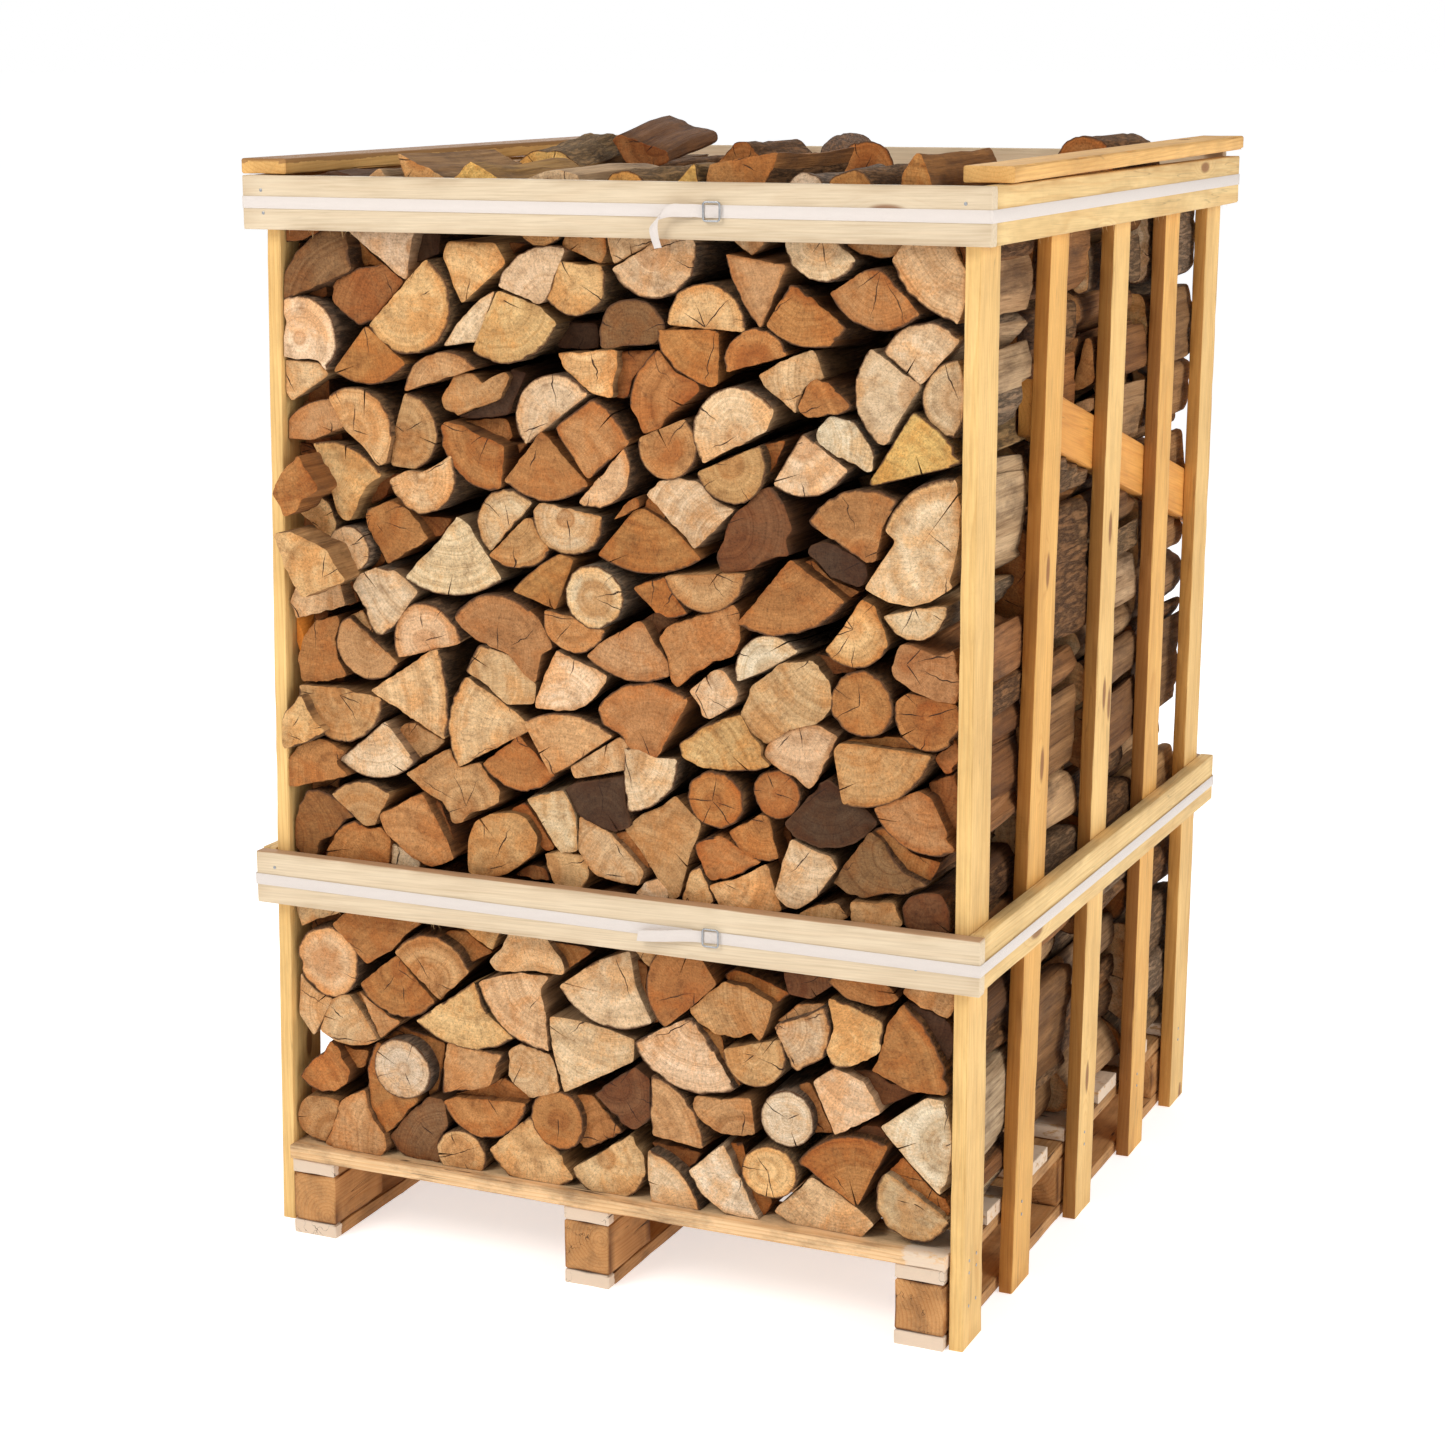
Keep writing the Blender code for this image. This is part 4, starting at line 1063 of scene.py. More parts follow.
def round_the_wall(outline):
    """Where an edge lies on the right slats it bulges: its two ends draw back from the wall."""
    on_wall = outline[:, 0] > RIGHT_WALL - 0.010
    if on_wall.sum() > 3:
        span = outline[on_wall, 1]
        place = (span - span.min()) / max(np.ptp(span), 1e-6)
        outline[on_wall, 0] -= WALL_ROUND * (2 * place - 1) ** 2
    return outline


def hidden_ends(rng):
    """Logs that only fill: behind the middle rail, and along the left slats behind the read ends."""
    wide, high = FILLER_OVAL
    for x in np.linspace(left_wall(0.57) + SIDE_ROOM, RIGHT_WALL - SIDE_ROOM, FILLERS):
        middle = np.array([x + rng.normal() * 0.004, MID_RAIL_Z])
        turns = np.sort(rng.uniform(0, 2 * np.pi, 7))
        outline = middle + spread(wide * np.cos(turns), high * np.sin(turns))
        yield "brown", MID_FILLER_DEPTH, 0.0, outline
    for count, z in enumerate(np.arange(DECK + 0.05, 1.50, FILL_STEP)):
        if SEE_THROUGH[0] < z < SEE_THROUGH[1]:
            continue
        out = left_wall(z) + CLEAR + rng.uniform(*FILLER_REACH)
        wall = left_wall(z) + FILLER_BACK[count % 2]
        low, high = z - FILL_HALF, z + FILL_HALF
        corners = np.array([(wall, low), (out, low + 0.01), (out, high - 0.01), (wall, high)])
        yield "umber", rng.uniform(*FILLER_DEPTH), 0.0, corners


def patch_of(piles, outline, wide, high):
    """The pile of the patch of the row in which an outline has its middle."""
    middle = middle_of(outline)
    return piles.setdefault((int((middle[0] - PATCHES_FROM) / wide), int(middle[1] / high)), Pile())


def show_row(number, piles):
    """Builds the piles of a row, each in place of a part of its solid."""
    points = 0
    for (column, level), pile in sorted(piles.items()):
        built = pile.build(f"logs_row_{number}_{column}_{level}", WOOD)
        piece = own(built, "split_wood", f"log_row_{number}")
        points += len(piece.data.vertices)
    print("row", number, "pieces", len(piles), "points", points)


def front_row():
    rng = np.random.default_rng(11)
    piles = {}
    for tone_name, back, sag, corners in [*ENDS, *hidden_ends(rng)]:
        outline, mask, heart = section(corners, sag, FINE["step"], rng)
        outline = round_the_wall(outline)
        old = tone_name in OLD_TONES
        if old or rng.random() < BARK_PATCHES:
            mask = np.maximum(mask, ripple(outline, rng, 0.10) > 0.1)
        # Ends set deeper than SHADED get the high wear of old wood: the darker, greyer faces it gives them
        # are painted shade for the gaps they lie in.
        wear = rng.uniform(0.5, 1.0) if old or back > SHADED else rng.uniform(0.0, 0.7)
        tone = linear(*TONES[tone_name]) * rng.uniform(0.90, 1.08) * rng.uniform(0.97, 1.03, 3)
        start = FRONT + back + rng.uniform(-0.004, 0.003)
        end = min(start + LOG + rng.uniform(-0.006, 0.002), FRONT + ROW_FRONT + LOG + 0.002)
        cracks = ()
        if back < SHADED and rng.random() < DRYING["share"]:
            cracks = ((rng.random(), rng.uniform(*DRYING["depth"]), rng.uniform(*DRYING["mouth"])),)
        pile = patch_of(piles, outline, *FRONT_PATCH)
        add_log(pile, outline, mask, heart, (start, end), tone, wear, rng, FINE, cracks)
    show_row(1, piles)


front_row()

# %% [markdown]
# The three rows behind show only between the slats, from above and at the back. Their ends start as whole
# rounds: each owns the ground nearer to it than to any neighbour, cut off by the slats, the deck and the top
# of the row, with its corners worn round. Most rounds are then split once or more through the heart, which
# leaves halves and wedges with bark on their outer side only.

# %% Rounds
ROUND = (0.148, 0.120)
SCATTER = (0.024, 0.020)
FIRST_LEVEL = 0.055
LEFT_GAP = (0.03, 0.007)
RIGHT_GAP = (0.04, 0.011)
NEIGHBOURS = 14


def clip(corners, point, normal):
    """The part of a polygon where (corner - point) . normal is not positive."""
    side = (corners - point) @ normal
    kept = []
    for i in range(len(corners)):
        j = (i + 1) % len(corners)
        if side[i] <= 0:
            kept.append(corners[i])
        if side[i] * side[j] < 0:
            kept.append(corners[i] + (corners[j] - corners[i]) * side[i] / (side[i] - side[j]))
    return np.array(kept)


def solid_points(node):
    """The points of a CAD solid as rows of x, y and z."""
    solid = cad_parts[node].data
    points = np.zeros(len(solid.vertices) * 3)
    solid.vertices.foreach_get("co", points)
    return points.reshape(-1, 3)


def row_top(node):
    """Height of the top of a row as a function of x, read from its solid."""
    points = np.unique(np.round(solid_points(node)[:, [0, 2]], 4), axis=0)
    upper = points[points[:, 1] > WALL_HEIGHT]
    return lambda x: np.interp(x, upper[:, 0], upper[:, 1])


def rounds(node, rng):
    """Polygons of the whole rounds in one row."""
    top = row_top(node)
    seeds = []
    for level in range(int((WALL_HEIGHT - DECK) / ROUND[1]) + 1):
        shift = 0.5 * ROUND[0] * (level % 2)
        height = DECK + FIRST_LEVEL + level * ROUND[1]
        for x in np.arange(left_wall(0.8) + SIDE_ROOM + shift, RIGHT_WALL - 0.02, ROUND[0]):
            seeds.append((x + rng.normal() * SCATTER[0], height + rng.normal() * SCATTER[1]))
    seeds = np.array(seeds)
    for seed in seeds:
        lid = float(top(seed[0]))
        low = left_wall(seed[1]) + CLEAR + min(LEFT_GAP[0], rng.exponential(LEFT_GAP[1]))
        high = RIGHT_WALL - CLEAR - min(RIGHT_GAP[0], rng.exponential(RIGHT_GAP[1]))
        box = np.array([(low, DECK), (high, DECK), (high, lid), (low, lid)])
        gap = seeds - seed
        for j in np.argsort((gap**2).sum(axis=1))[1 : NEIGHBOURS + 1]:
            if len(box) < 3:
                break
            box = clip(box, seed + gap[j] / 2, gap[j] / np.linalg.norm(gap[j]))
        if len(box) >= 3:
            yield box


# %% Splitting
CUTS = (0, 1, 2)
CUT_ODDS = (0.22, 0.42, 0.36)
CUT_OFF = 0.25
GROUND_USED = 0.985
WORN_TIMES = (5, 9, 14)
HEART_OFF = 0.010
SPIN = 0.06
PART_SIZE = (0.92, 0.975)


def split(outline, mask, point, turn, step):
    """The two parts of an outline on either side of a line; the new straight edge has no bark."""
    normal = np.array([np.cos(turn), np.sin(turn)])
    side = (outline - point) @ normal
    for sign in (1, -1):
        keep = side * sign < 0
        if keep.sum() < 5:
            continue
        first = int(np.argmax(keep & ~np.roll(keep, 1)))
        turned, kept = np.roll(outline, -first, axis=0), np.roll(keep, -first)
        count = int(np.argmin(kept)) or len(kept)
        part, skin = turned[:count], np.roll(mask, -first)[:count]
        parts = max(2, int(np.linalg.norm(part[0] - part[-1]) / step))
        edge = part[-1] + (part[0] - part[-1]) * (np.arange(1, parts) / parts)[:, None]
        yield np.concatenate([part, edge]), np.concatenate([skin, np.zeros(len(edge))])


def split_logs(corners, step, rng):
    """(outline, bark mask, heart) of each log from one round."""
    outline = even_edges(corners, step, True)
    middle = middle_of(outline)
    outline = soften(middle + (outline - middle) * GROUND_USED, int(rng.choice(WORN_TIMES)))
    heart = middle + rng.normal(size=2) * HEART_OFF
    logs = [(outline, np.ones(len(outline)))]
    turn = rng.uniform(0, np.pi)
    for extra in (0.0, np.pi / 2)[: int(rng.choice(CUTS, p=CUT_ODDS))]:
        cut = turn + extra + rng.normal() * CUT_OFF
        logs = [part for log in logs for part in split(*log, heart, cut, step)]
    for outline, mask in logs:
        centre = middle_of(outline)
        lean = rng.normal() * SPIN
        spin = np.array([[np.cos(lean), -np.sin(lean)], [np.sin(lean), np.cos(lean)]])
        yield centre + (outline - centre) @ spin * rng.uniform(*PART_SIZE), mask, heart


# %% Rows behind
INNER_TONES = ("cream", "cream", "pale", "pale", "straw", "tan", "tan", "amber", "rose", "brown")
BARKED = 0.5
FRESH = 0.55
FEWEST_POINTS = 10


def inner_row(number, grade, patch):
    rng = np.random.default_rng(40 + number)
    piles = {}
    for corners in rounds(f"log_row_{number}", rng):
        if len(even_edges(corners, grade["step"], True)) < FEWEST_POINTS:
            continue
        for outline, mask, heart in split_logs(corners, grade["step"], rng):
            tone = linear(*TONES[INNER_TONES[rng.integers(len(INNER_TONES))]]) * rng.uniform(0.85, 1.05)
            wear = rng.uniform(0.0, 0.35) if rng.random() < FRESH else rng.uniform(0.5, 1.0)
            mask = mask * (rng.random() < BARKED)
            start = FRONT + ROW_FRONT + ROW_PITCH * (number - 1) + rng.uniform(0, 0.005)
            end = start + LOG - rng.uniform(0.002, 0.016)
            pile = patch_of(piles, outline, patch, patch)
            add_log(pile, outline, mask, heart, (start, end), tone, wear, rng, grade)
    show_row(number, piles)


for number in (2, 3):
    inner_row(number, COARSE, 0.28)
inner_row(4, BACK, 0.22)

# %% [markdown]
# Five logs lie loose on the pile and two at the left post stand out past the rest. Each is the same kind of
# loft, placed between the two ends of its solid: across is level, up is square to both.


# %% Loose logs
def log_frame(near, far):
    """A function that turns (across, along, up) into the crate's X, Y and Z between two points."""
    near, far = np.array(near), np.array(far)
    along = (far - near) / np.linalg.norm(far - near)
    across = np.cross(along, (0, 0, 1))
    across = across / np.linalg.norm(across)
    axes = np.stack([across, along, np.cross(across, along)])
    return lambda points: near + points @ axes, float(np.linalg.norm(far - near))


def loose_log(node, tone_name, seed, corners, sag, near, far, bark_above=None, slot="bark", wear=0.8):
    """A log between two points; where bark_above is given, only its upper side has bark."""
    rng = np.random.default_rng(seed)
    place, length = log_frame(*[(x, FRONT + y, z) for x, y, z in (near, far)])
    outline, mask, heart = section(corners, sag, FINE["step"], rng)
    if bark_above is not None:
        mask = (outline[:, 1] > bark_above).astype(float)
        heart = np.array([0.0, -0.02])
    pile = Pile()
    ends = (0.0014, length - 0.0014)
    tone = linear(*TONES[tone_name])
    add_log(pile, outline * 0.985, mask, heart, ends, tone, wear, rng, FINE, (), place, np.zeros(2))
    own(pile.build(node + "_wood", WOOD), slot, node)


TILTED = [
    (0.044, -0.006), (0.040, 0.010), (-0.036, 0.036), (-0.046, 0.026), (-0.022, -0.012), (0.012, -0.018),
]
FLAT = [
    (-0.060, -0.016), (0.060, -0.016), (0.052, 0.004), (0.020, 0.026), (-0.020, 0.028), (-0.052, 0.008),
]
RIDGE = [(-0.050, -0.012), (0.048, -0.012), (0.010, 0.030), (-0.010, 0.030)]
PROUD_AMBER = [
    (-0.5165, 1.178), (-0.503, 1.159), (-0.497, 1.144), (-0.473, 1.156), (-0.465, 1.172),
    (-0.436, 1.187), (-0.4696, 1.2385), (-0.4927, 1.216), (-0.5107, 1.1914),
]
PROUD_STRAW = [
    (-0.5172, 1.118), (-0.499, 1.0755), (-0.485, 1.045), (-0.471, 1.027), (-0.397, 1.054),
    (-0.424, 1.100), (-0.457, 1.113), (-0.488, 1.1235),
]
PROUD = ((0, -0.028, 0), (0, 0.256, 0))
SPLIT_WOOD = {"slot": "split_wood"}

LOOSE = (
    (("log_top_tilted", "umber", 3, TILTED, 0, (-0.136, 0.440, 1.626), (-0.182, 0.716, 1.648)), SPLIT_WOOD),
    (("log_top_left", "honey", 4, FLAT, 0, (-0.240, 0.336, 1.612), (-0.288, 0.610, 1.630), 0.0), {}),
    (("log_top_middle", "brown", 5, [(0, 0)], 0.043, (0.150, 0.632, 1.6065), (0.020, 0.884, 1.6115)), {}),
    (("log_top_right", "brown", 6, [(0, 0)], 0.048, (0.452, 0.770, 1.6075), (0.446, 1.052, 1.6035)), {}),
    (("log_top_back", "brown", 7, RIDGE, 0, (-0.175, 0.900, 1.608), (-0.198, 1.182, 1.606), 0.0), {}),
    (("log_proud_1", "amber", 8, PROUD_AMBER, 0, *PROUD), {"wear": 0.3, **SPLIT_WOOD}),
    (("log_proud_2", "straw", 9, PROUD_STRAW, 0, *PROUD), {"wear": 0.3, **SPLIT_WOOD}),
)
for facts, more in LOOSE:
    loose_log(*facts, **more)
print("loose logs", len(LOOSE))

# %% [markdown]
# Boards come from the saw: straight, with worn edges, knots, long grain and the faint marks of the blade.
# Each takes the eight corners of its CAD solid, so it sits exactly there, and carries a rounded rectangle
# along them. Its grain attribute places it in a tree whose heart runs slightly askew under the board.


# %% Board surface
def board_material(name, rings, knots, roughness, wash, wash_limit, saw, dirt, checks, uneven):
    """Softwood: rings sliced by the board, knots as stretched spots, fibres, dirt, and a wash by trace."""
    s = Shader(name)
    grain = s.read("grain")
    tone = s.read("tone", "Color")
    lengthwise, across, mask = s.split(s.read("trace"))
    gx, _, gz = s.split(grain)
    cells = {"Vector": s.join(lengthwise * 3.6, across * 11.0, 0.0), "Scale": 1.0}
    spots = s.outputs("ShaderNodeTexVoronoi", cells, voronoi_dimensions="2D")
    chosen = s.ramp(s.split(spots["Color"])[0], (1.0 - knots, 0.0), (1.0 - knots + 0.01, 1.0))
    near = s.ramp(spots["Distance"], (0.0, 1.0), (0.24, 0.0)) * chosen
    knot = s.ramp(spots["Distance"], (0.0, 1.0), (0.07, 0.9), (0.11, 0.0)) * chosen
    wobble = s.stretched(grain, (9.0, 2.2), 3.0, 0.5)
    turns = (s.length(s.join(gx, 0.0, gz)) + (wobble * 0.022 + near * 0.02)) / 0.0058
    late = s.ramp(s.math("FRACT", turns), (0.0, 0.0), (0.55, 0.25), (0.85, 1.0), (1.0, 0.1))
    fibre = s.stretched(grain, (420.0, 8.0), 3.0, 0.6)
    dull = s.stretched(grain, (16.0, 3.0), 4.0, 0.6)
    colour = s.tint(tone, (0.76, 0.56, 0.36), late * rings)
    colour = s.tint(colour, s.ramp(fibre, (0.2, (0.82, 0.78, 0.72)), (0.6, (1.03, 1.02, 1.0))))
    colour = s.tint(colour, s.ramp(dull, (0.3, (0.84, 0.78, 0.70)), (0.6, (1.03, 1.02, 1.0))), uneven)
    grime = s.ramp(s.stretched(grain, (24.0, 10.0), 6.0, 0.7), (0.47, 0.0), (0.70, dirt))
    colour = s.mix(grime, colour, linear(92, 64, 42))
    colour = s.mix(knot * 0.85, colour, linear(126, 74, 34))
    worn = s.stretched(grain, (70.0, 30.0), 5.0, 0.66)
    washed = s.ramp(mask + (worn - 0.5) * 1.1, (0.46, 0.0), (0.56, 1.0)) * wash_limit
    colour = s.mix(washed, colour, wash)
    line = s.stretched(grain, (48.0, 1.6), 2.0, 0.5)
    check = s.ramp(line, (0.493, 0.0), (0.499, 1.0), (0.501, 1.0), (0.507, 0.0))
    check = check * s.ramp(s.stretched(grain, (12.0, 5.0), 1.0), (0.56, 0.0), (0.60, checks))
    colour = s.mix(check, colour, CRACK)
    blade = s.noise(s.join(lengthwise * 260.0, across * 9.0, 0.0), 1.0, 2.0)
    height = fibre * 0.5 + blade * saw - knot * 0.3
    return s.finish(colour, roughness, s.bump(height, 0.5, 0.0012))


SOFTWOOD = board_material(
    "sawn_softwood", rings=0.34, knots=0.24, roughness=0.66, wash=linear(152, 108, 62), wash_limit=0.80,
    saw=0.8, dirt=0.14, checks=0.30, uneven=1.0,
)
PLANED = board_material(
    "planed_softwood", rings=0.10, knots=0.03, roughness=0.60, wash=linear(206, 178, 138), wash_limit=0.3,
    saw=0.25, dirt=0.05, checks=0.1, uneven=0.35,
)
PALLET = board_material(
    "dirty_softwood", rings=0.55, knots=0.16, roughness=0.80, wash=linear(226, 206, 184), wash_limit=0.85,
    saw=1.0, dirt=0.60, checks=1.0, uneven=1.0,
)
print("board materials", [material.name for material in (SOFTWOOD, PLANED, PALLET)])

# %% [markdown]
# A board's edges are worn more than its faces, and dirt gathers on them. Each point of the rounded rectangle
# knows its share of the way between the eight corners, so a leaning or tapering board needs nothing more.

# %% Board shape
AXES = {"x": (2, 1, 0), "y": (0, 2, 1), "z": (1, 0, 2)}
DENT = {"size": 0.07, "least": 0.2, "depth": 0.0022, "on_face": 0.12}
WAVE = {"size": 0.10, "along": 0.4, "depth": 0.00025}
EDGE_STEP = 0.010
END_RINGS = np.array([0.45, 0.9])
END_INSET = 0.0010
STATION = 0.028
HEART_BELOW = (0.02, 0.09)
HEART_SKEW = 0.035
HEART_ASIDE = 0.03
SEED_STEPS = np.array([3.7, 1.37, 0.71])
GRIME_ON = {"edge": 2.2, "face": 0.4}
GRIME_MOST = 0.85
GRIME_TINT = (0.8, 1.0, 1.2)


def corners_of(node, b, c, a):
    """The eight corners of a CAD board as [b][c][a] low or high, from the points that lie round each one."""
    points = np.unique(np.round(solid_points(node), 5), axis=0)
    made = np.zeros((2, 2, 2, 3))
    for k, end in enumerate(np.split(points[np.argsort(points[:, a])], 2)):
        for i, side in enumerate(np.split(end[np.argsort(end[:, b])], 2)):
            for j, corner in enumerate(np.split(side[np.argsort(side[:, c])], 2)):
                outer = np.array([corner.min(axis=0), corner.max(axis=0)])
                made[i, j, k, [b, c, a]] = outer[[i, j, k], [b, c, a]]
    return made


def round_corners(low, high, radius, steps):
    """Quarter circles round the four corners of the box from low to high, anticlockwise from low right."""
    quarter = np.linspace(0, np.pi / 2, steps + 1)
    places = ((high[0], low[1], -1), (high[0], high[1], 0), (low[0], high[1], 1), (low[0], low[1], 2))
    turns = [(x, y, quarter + turn * np.pi / 2) for x, y, turn in places]
    return np.concatenate([spread(x + radius * np.cos(a), y + radius * np.sin(a)) for x, y, a in turns])


def worn_sections(size, radius, wear, rng):
    """Worn rounded rectangles along a board in metres, each one's share of the length, and the worn rims."""
    width, height, length = size
    inner = round_corners((radius, radius), (width - radius, height - radius), radius, 3)
    outline = even_edges(inner, EDGE_STEP, True)
    centre = np.array([width, height]) / 2
    count = max(8, int(length / STATION))
    scale = np.concatenate([END_RINGS, np.ones(count), END_RINGS[::-1]])[:, None]
    t = np.concatenate([np.zeros(2), np.linspace(0, 1, count), np.ones(2)])[:, None]
    spoke = outline - centre
    edge = (np.abs(spoke[:, 0]) > width / 2 - radius) & (np.abs(spoke[:, 1]) > height / 2 - radius)
    place = spread(spoke[:, 0], t * length, spoke[:, 1])
    dent = np.maximum(0, ripple(place, rng, DENT["size"]) - DENT["least"]) * DENT["depth"]
    dent = dent * np.where(edge, 1.0, DENT["on_face"]) * wear
    dent = dent + (ripple(place * (1, WAVE["along"], 1), rng, WAVE["size"]) + 1.2) * WAVE["depth"] * wear
    flat = centre + spoke * (scale * np.maximum(0.2, 1 - dent / np.linalg.norm(spoke, axis=1)))[..., None]
    full = scale > 0.95
    run = np.clip(t, END_INSET / length * full, 1 - END_INSET / length * full)
    return flat, run, np.append((edge | (t == 0) | (t == 1)) & full, (False, False))


def board_grain(local, size, seed, wash, rng):
    """Where points lie in a tree whose heart runs askew past the board, and their trace along and across.

    Every board is shifted by its seed, so that no two show the same part of the noise.
    """
    across, lengthwise, up = local.T
    below = rng.uniform(*HEART_BELOW) * rng.choice((-1, 1))
    skew = rng.uniform(-HEART_SKEW, HEART_SKEW, 2)
    heart = size[0] / 2 + rng.uniform(-HEART_ASIDE, HEART_ASIDE) + skew[0] * lengthwise
    wide, deep = (across, up) if size[0] > size[1] else (up, across)
    shift = seed * SEED_STEPS
    grain = spread(wide - heart, lengthwise + shift[0], deep - below - skew[1] * lengthwise)
    return grain, spread(lengthwise + shift[1], wide + shift[2], wash)


def dirty_colour(tone, local, rim, dirt, rng):
    """The tone of a board, with patches of dirt that are thickest on edges and ends."""
    colour = linear(*tone) * rng.uniform(0.95, 1.05)
    grime = dirt * (0.6 + ripple(local, rng, 0.05) * 0.6) * np.where(rim, GRIME_ON["edge"], GRIME_ON["face"])
    return colour * (1 - np.clip(grime, 0, GRIME_MOST))[:, None] ** GRIME_TINT


def board(
    node, along, tone, material, slot, seed, radius=0.0018, tint=None, wear=1.0, dirt=0.10, shade=None
):
    """A board with worn edges between the corners of its CAD solid.

    A point of the rounded rectangle is the sum of the solid's eight corners, each weighted by the product of
    the point's shares of the way to it along the three sides. Dents first draw the point to the middle.
    """
    rng = np.random.default_rng(seed)
    cage = corners_of(node, *AXES[along])
    sides = (cage[1, 0, 0], cage[0, 1, 0], cage[0, 0, 1])
    width, height, length = size = [np.linalg.norm(side - cage[0, 0, 0]) for side in sides]
    flat, run, rim = worn_sections(size, radius, wear, rng)
    share = spread(flat[..., 0] / width, flat[..., 1] / height, run)
    weights = [np.where(low_high, share, 1 - share).prod(axis=-1) for low_high in np.ndindex(2, 2, 2)]
    rings = np.tensordot(weights, cage.reshape(8, 3), ((0,), (0,)))
    metres = spread(flat[..., 0], run * length, flat[..., 1]).reshape(-1, 3)
    local = np.concatenate([metres, [[width / 2, 0, height / 2], [width / 2, length, height / 2]]])
    shares = (local[:, 1] / length, local[:, 0] / width, local[:, 2] / height)
    grain, trace = board_grain(local, size, seed, 0.0 if tint is None else tint(*shares), rng)
    colour = dirty_colour(tone, local, rim, dirt, rng)
    if shade is not None:
        colour = colour * shade(*shares)
    pile = Pile()
    pile.add(rings, colour, grain, trace)
    return own(pile.build(node + "_board", [material], 40.0), slot, node)


# %% [markdown]
# The front and back rails are planed and pale. The slats, side rails and braces are yellower and rough from
# the saw. The two boards on top still carry some bark-brown skin on their inner side.

# %% Slats, rails, braces and top boards
HONEY = (236, 186, 108)
YELLOW = (242, 204, 136)
CREAM = (222, 204, 176)
PALE_RAIL = (238, 208, 150)
ORANGE = (228, 164, 84)
SAPPY = (240, 150, 56)
TOP_BOARD = (232, 186, 116)
# Painted shade for the narrow front face of each slat; the first slat is the post and keeps its colour.
NARROW_FACE_SHADE = (
    (1.0, 1.0, 1.0), (0.62, 0.46, 0.30), (0.46, 0.32, 0.18), (0.44, 0.32, 0.24), (0.70, 0.52, 0.32),
)
SKIN = {"left": 0.95, "right": 0.22}
BRACE_TIP = (
    (0.050, ((0.001, 0.962), (0.001, 0.928), (0.008, 0.908), (0.014, 0.914), (0.012, 0.942))),
    (0.058, ((0.001, 0.976), (0.001, 0.922), (0.012, 0.910), (0.019, 0.917), (0.018, 0.952))),
    (0.078, ((0.001, 0.986), (0.001, 0.922), (0.015, 0.915), (0.021, 0.921), (0.021, 0.978))),
    (0.112, ((0.001, 0.998), (0.001, 0.928), (0.016, 0.926), (0.021, 0.932), (0.021, 0.994))),
)


def skin_inside(side):
    """A wash along the upper face, ragged towards the edge."""
    return lambda t, b, c: np.where(c > 0.8, SKIN[side], 0.0)


def shade_front_face(shade):
    """Painted shade: darkens the narrow face that looks to the front, as if only the wide faces caught the
    light.
    """
    return lambda t, b, c: np.where((b < 0.012)[:, None], shade, 1.0)


def dark_top(t, b, c):
    """Darkens the upper face of the left board, which was never planed."""
    return np.where((c > 0.9)[:, None], (0.42, 0.36, 0.30), 1.0)


def dirty_top(t, b, c):
    """Darkens the upper face, where dust and chips lie."""
    return np.where((b > 0.985)[:, None], (0.66, 0.50, 0.40), 1.0)


def slats():
    for side, first in (("right", 101), ("left", 106)):
        for i, shade in enumerate(NARROW_FACE_SHADE):
            tone = HONEY if i % 2 else YELLOW
            node = f"slat_{side}_{i + 1}"
            board(node, "z", tone, SOFTWOOD, "softwood", first + i, shade=shade_front_face(shade))


def rails():
    for place, first, shade in (("top", 111, None), ("mid", 115, dirty_top)):
        for i, side in enumerate(("front", "back")):
            board(f"rail_{side}_{place}", "x", CREAM, PLANED, "planed_board", first + i, shade=shade)
        for i, side in enumerate(("left", "right")):
            board(f"rail_{side}_{place}", "y", PALE_RAIL, SOFTWOOD, "softwood", first + 2 + i)


def braces_and_top_boards():
    for side, seed, shade in (("left", 119, dark_top), ("right", 120, None)):
        board(f"brace_{side}", "y", ORANGE, SOFTWOOD, "softwood", seed)
        board(
            f"top_board_{side}", "y", TOP_BOARD, SOFTWOOD, "softwood", seed + 50,
            0.003, skin_inside(side), 1.6, shade=shade,
        )


def brace_tip():
    """The sappy orange front end of the left brace, cut to a point: sections along Y."""
    rings = np.array([[(left_wall(z) + x, FRONT + y, z) for x, z in outline] for y, outline in BRACE_TIP])
    local = np.concatenate([rings.reshape(-1, 3), rings[[0, -1]].mean(axis=1)])
    pile = Pile()
    pile.add(rings, linear(*SAPPY), local, spread(local[:, 1], local[:, 2], 0.0))
    own(pile.build("brace_left_tip", [SOFTWOOD]), "softwood", "brace_left")


slats()
rails()
braces_and_top_boards()
brace_tip()
print("boards of the crate done")

# %% [markdown]
# The pallet is rough and dirty. The ends of its bearers and runners were brushed with pale paint,
# which has worn to patches, and its blocks are cut from darker timber with end grain to the front.

# %% Pallet
BEAM = (204, 160, 110)
BLOCK = (206, 156, 102)
DECK_FRONT = (244, 210, 166)
DECK_REST = (222, 184, 138)


def painted_ends(reach):
    """A wash near both ends of the board that fades out over its reach, a share of the length."""
    return lambda t, b, c: np.clip(1.15 - np.minimum(t, 1 - t) / reach, 0, 1)


def paint_right(t, b, c):
    """A wash near the right end of a deck board."""
    return np.where(t > 0.93, 0.62, 0.0)


def pallet():
    for side, seed in (("left", 301), ("middle", 306), ("right", 311)):
        for i, (kind, reach) in enumerate((("runner", 0.006), ("bearer", 0.02))):
            node, paint = f"pallet_{kind}_{side}", painted_ends(reach)
            board(node, "y", BEAM, PALLET, "pallet_wood", seed + i, 0.002, paint, 2.4, 0.42)
        for i, place in enumerate(("front", "centre", "rear")):
            node = f"pallet_block_{side}_{place}"
            board(node, "y", BLOCK, PALLET, "pallet_wood", seed + 2 + i, 0.003, None, 2.8, 0.45)
    for i in range(7):
        node, tone = f"pallet_deck_board_{i + 1}", DECK_REST if i else DECK_FRONT
        board(node, "x", tone, PALLET, "pallet_wood", 316 + i, 0.002, paint_right, 2.4, 0.16)


pallet()
print("pallet done")

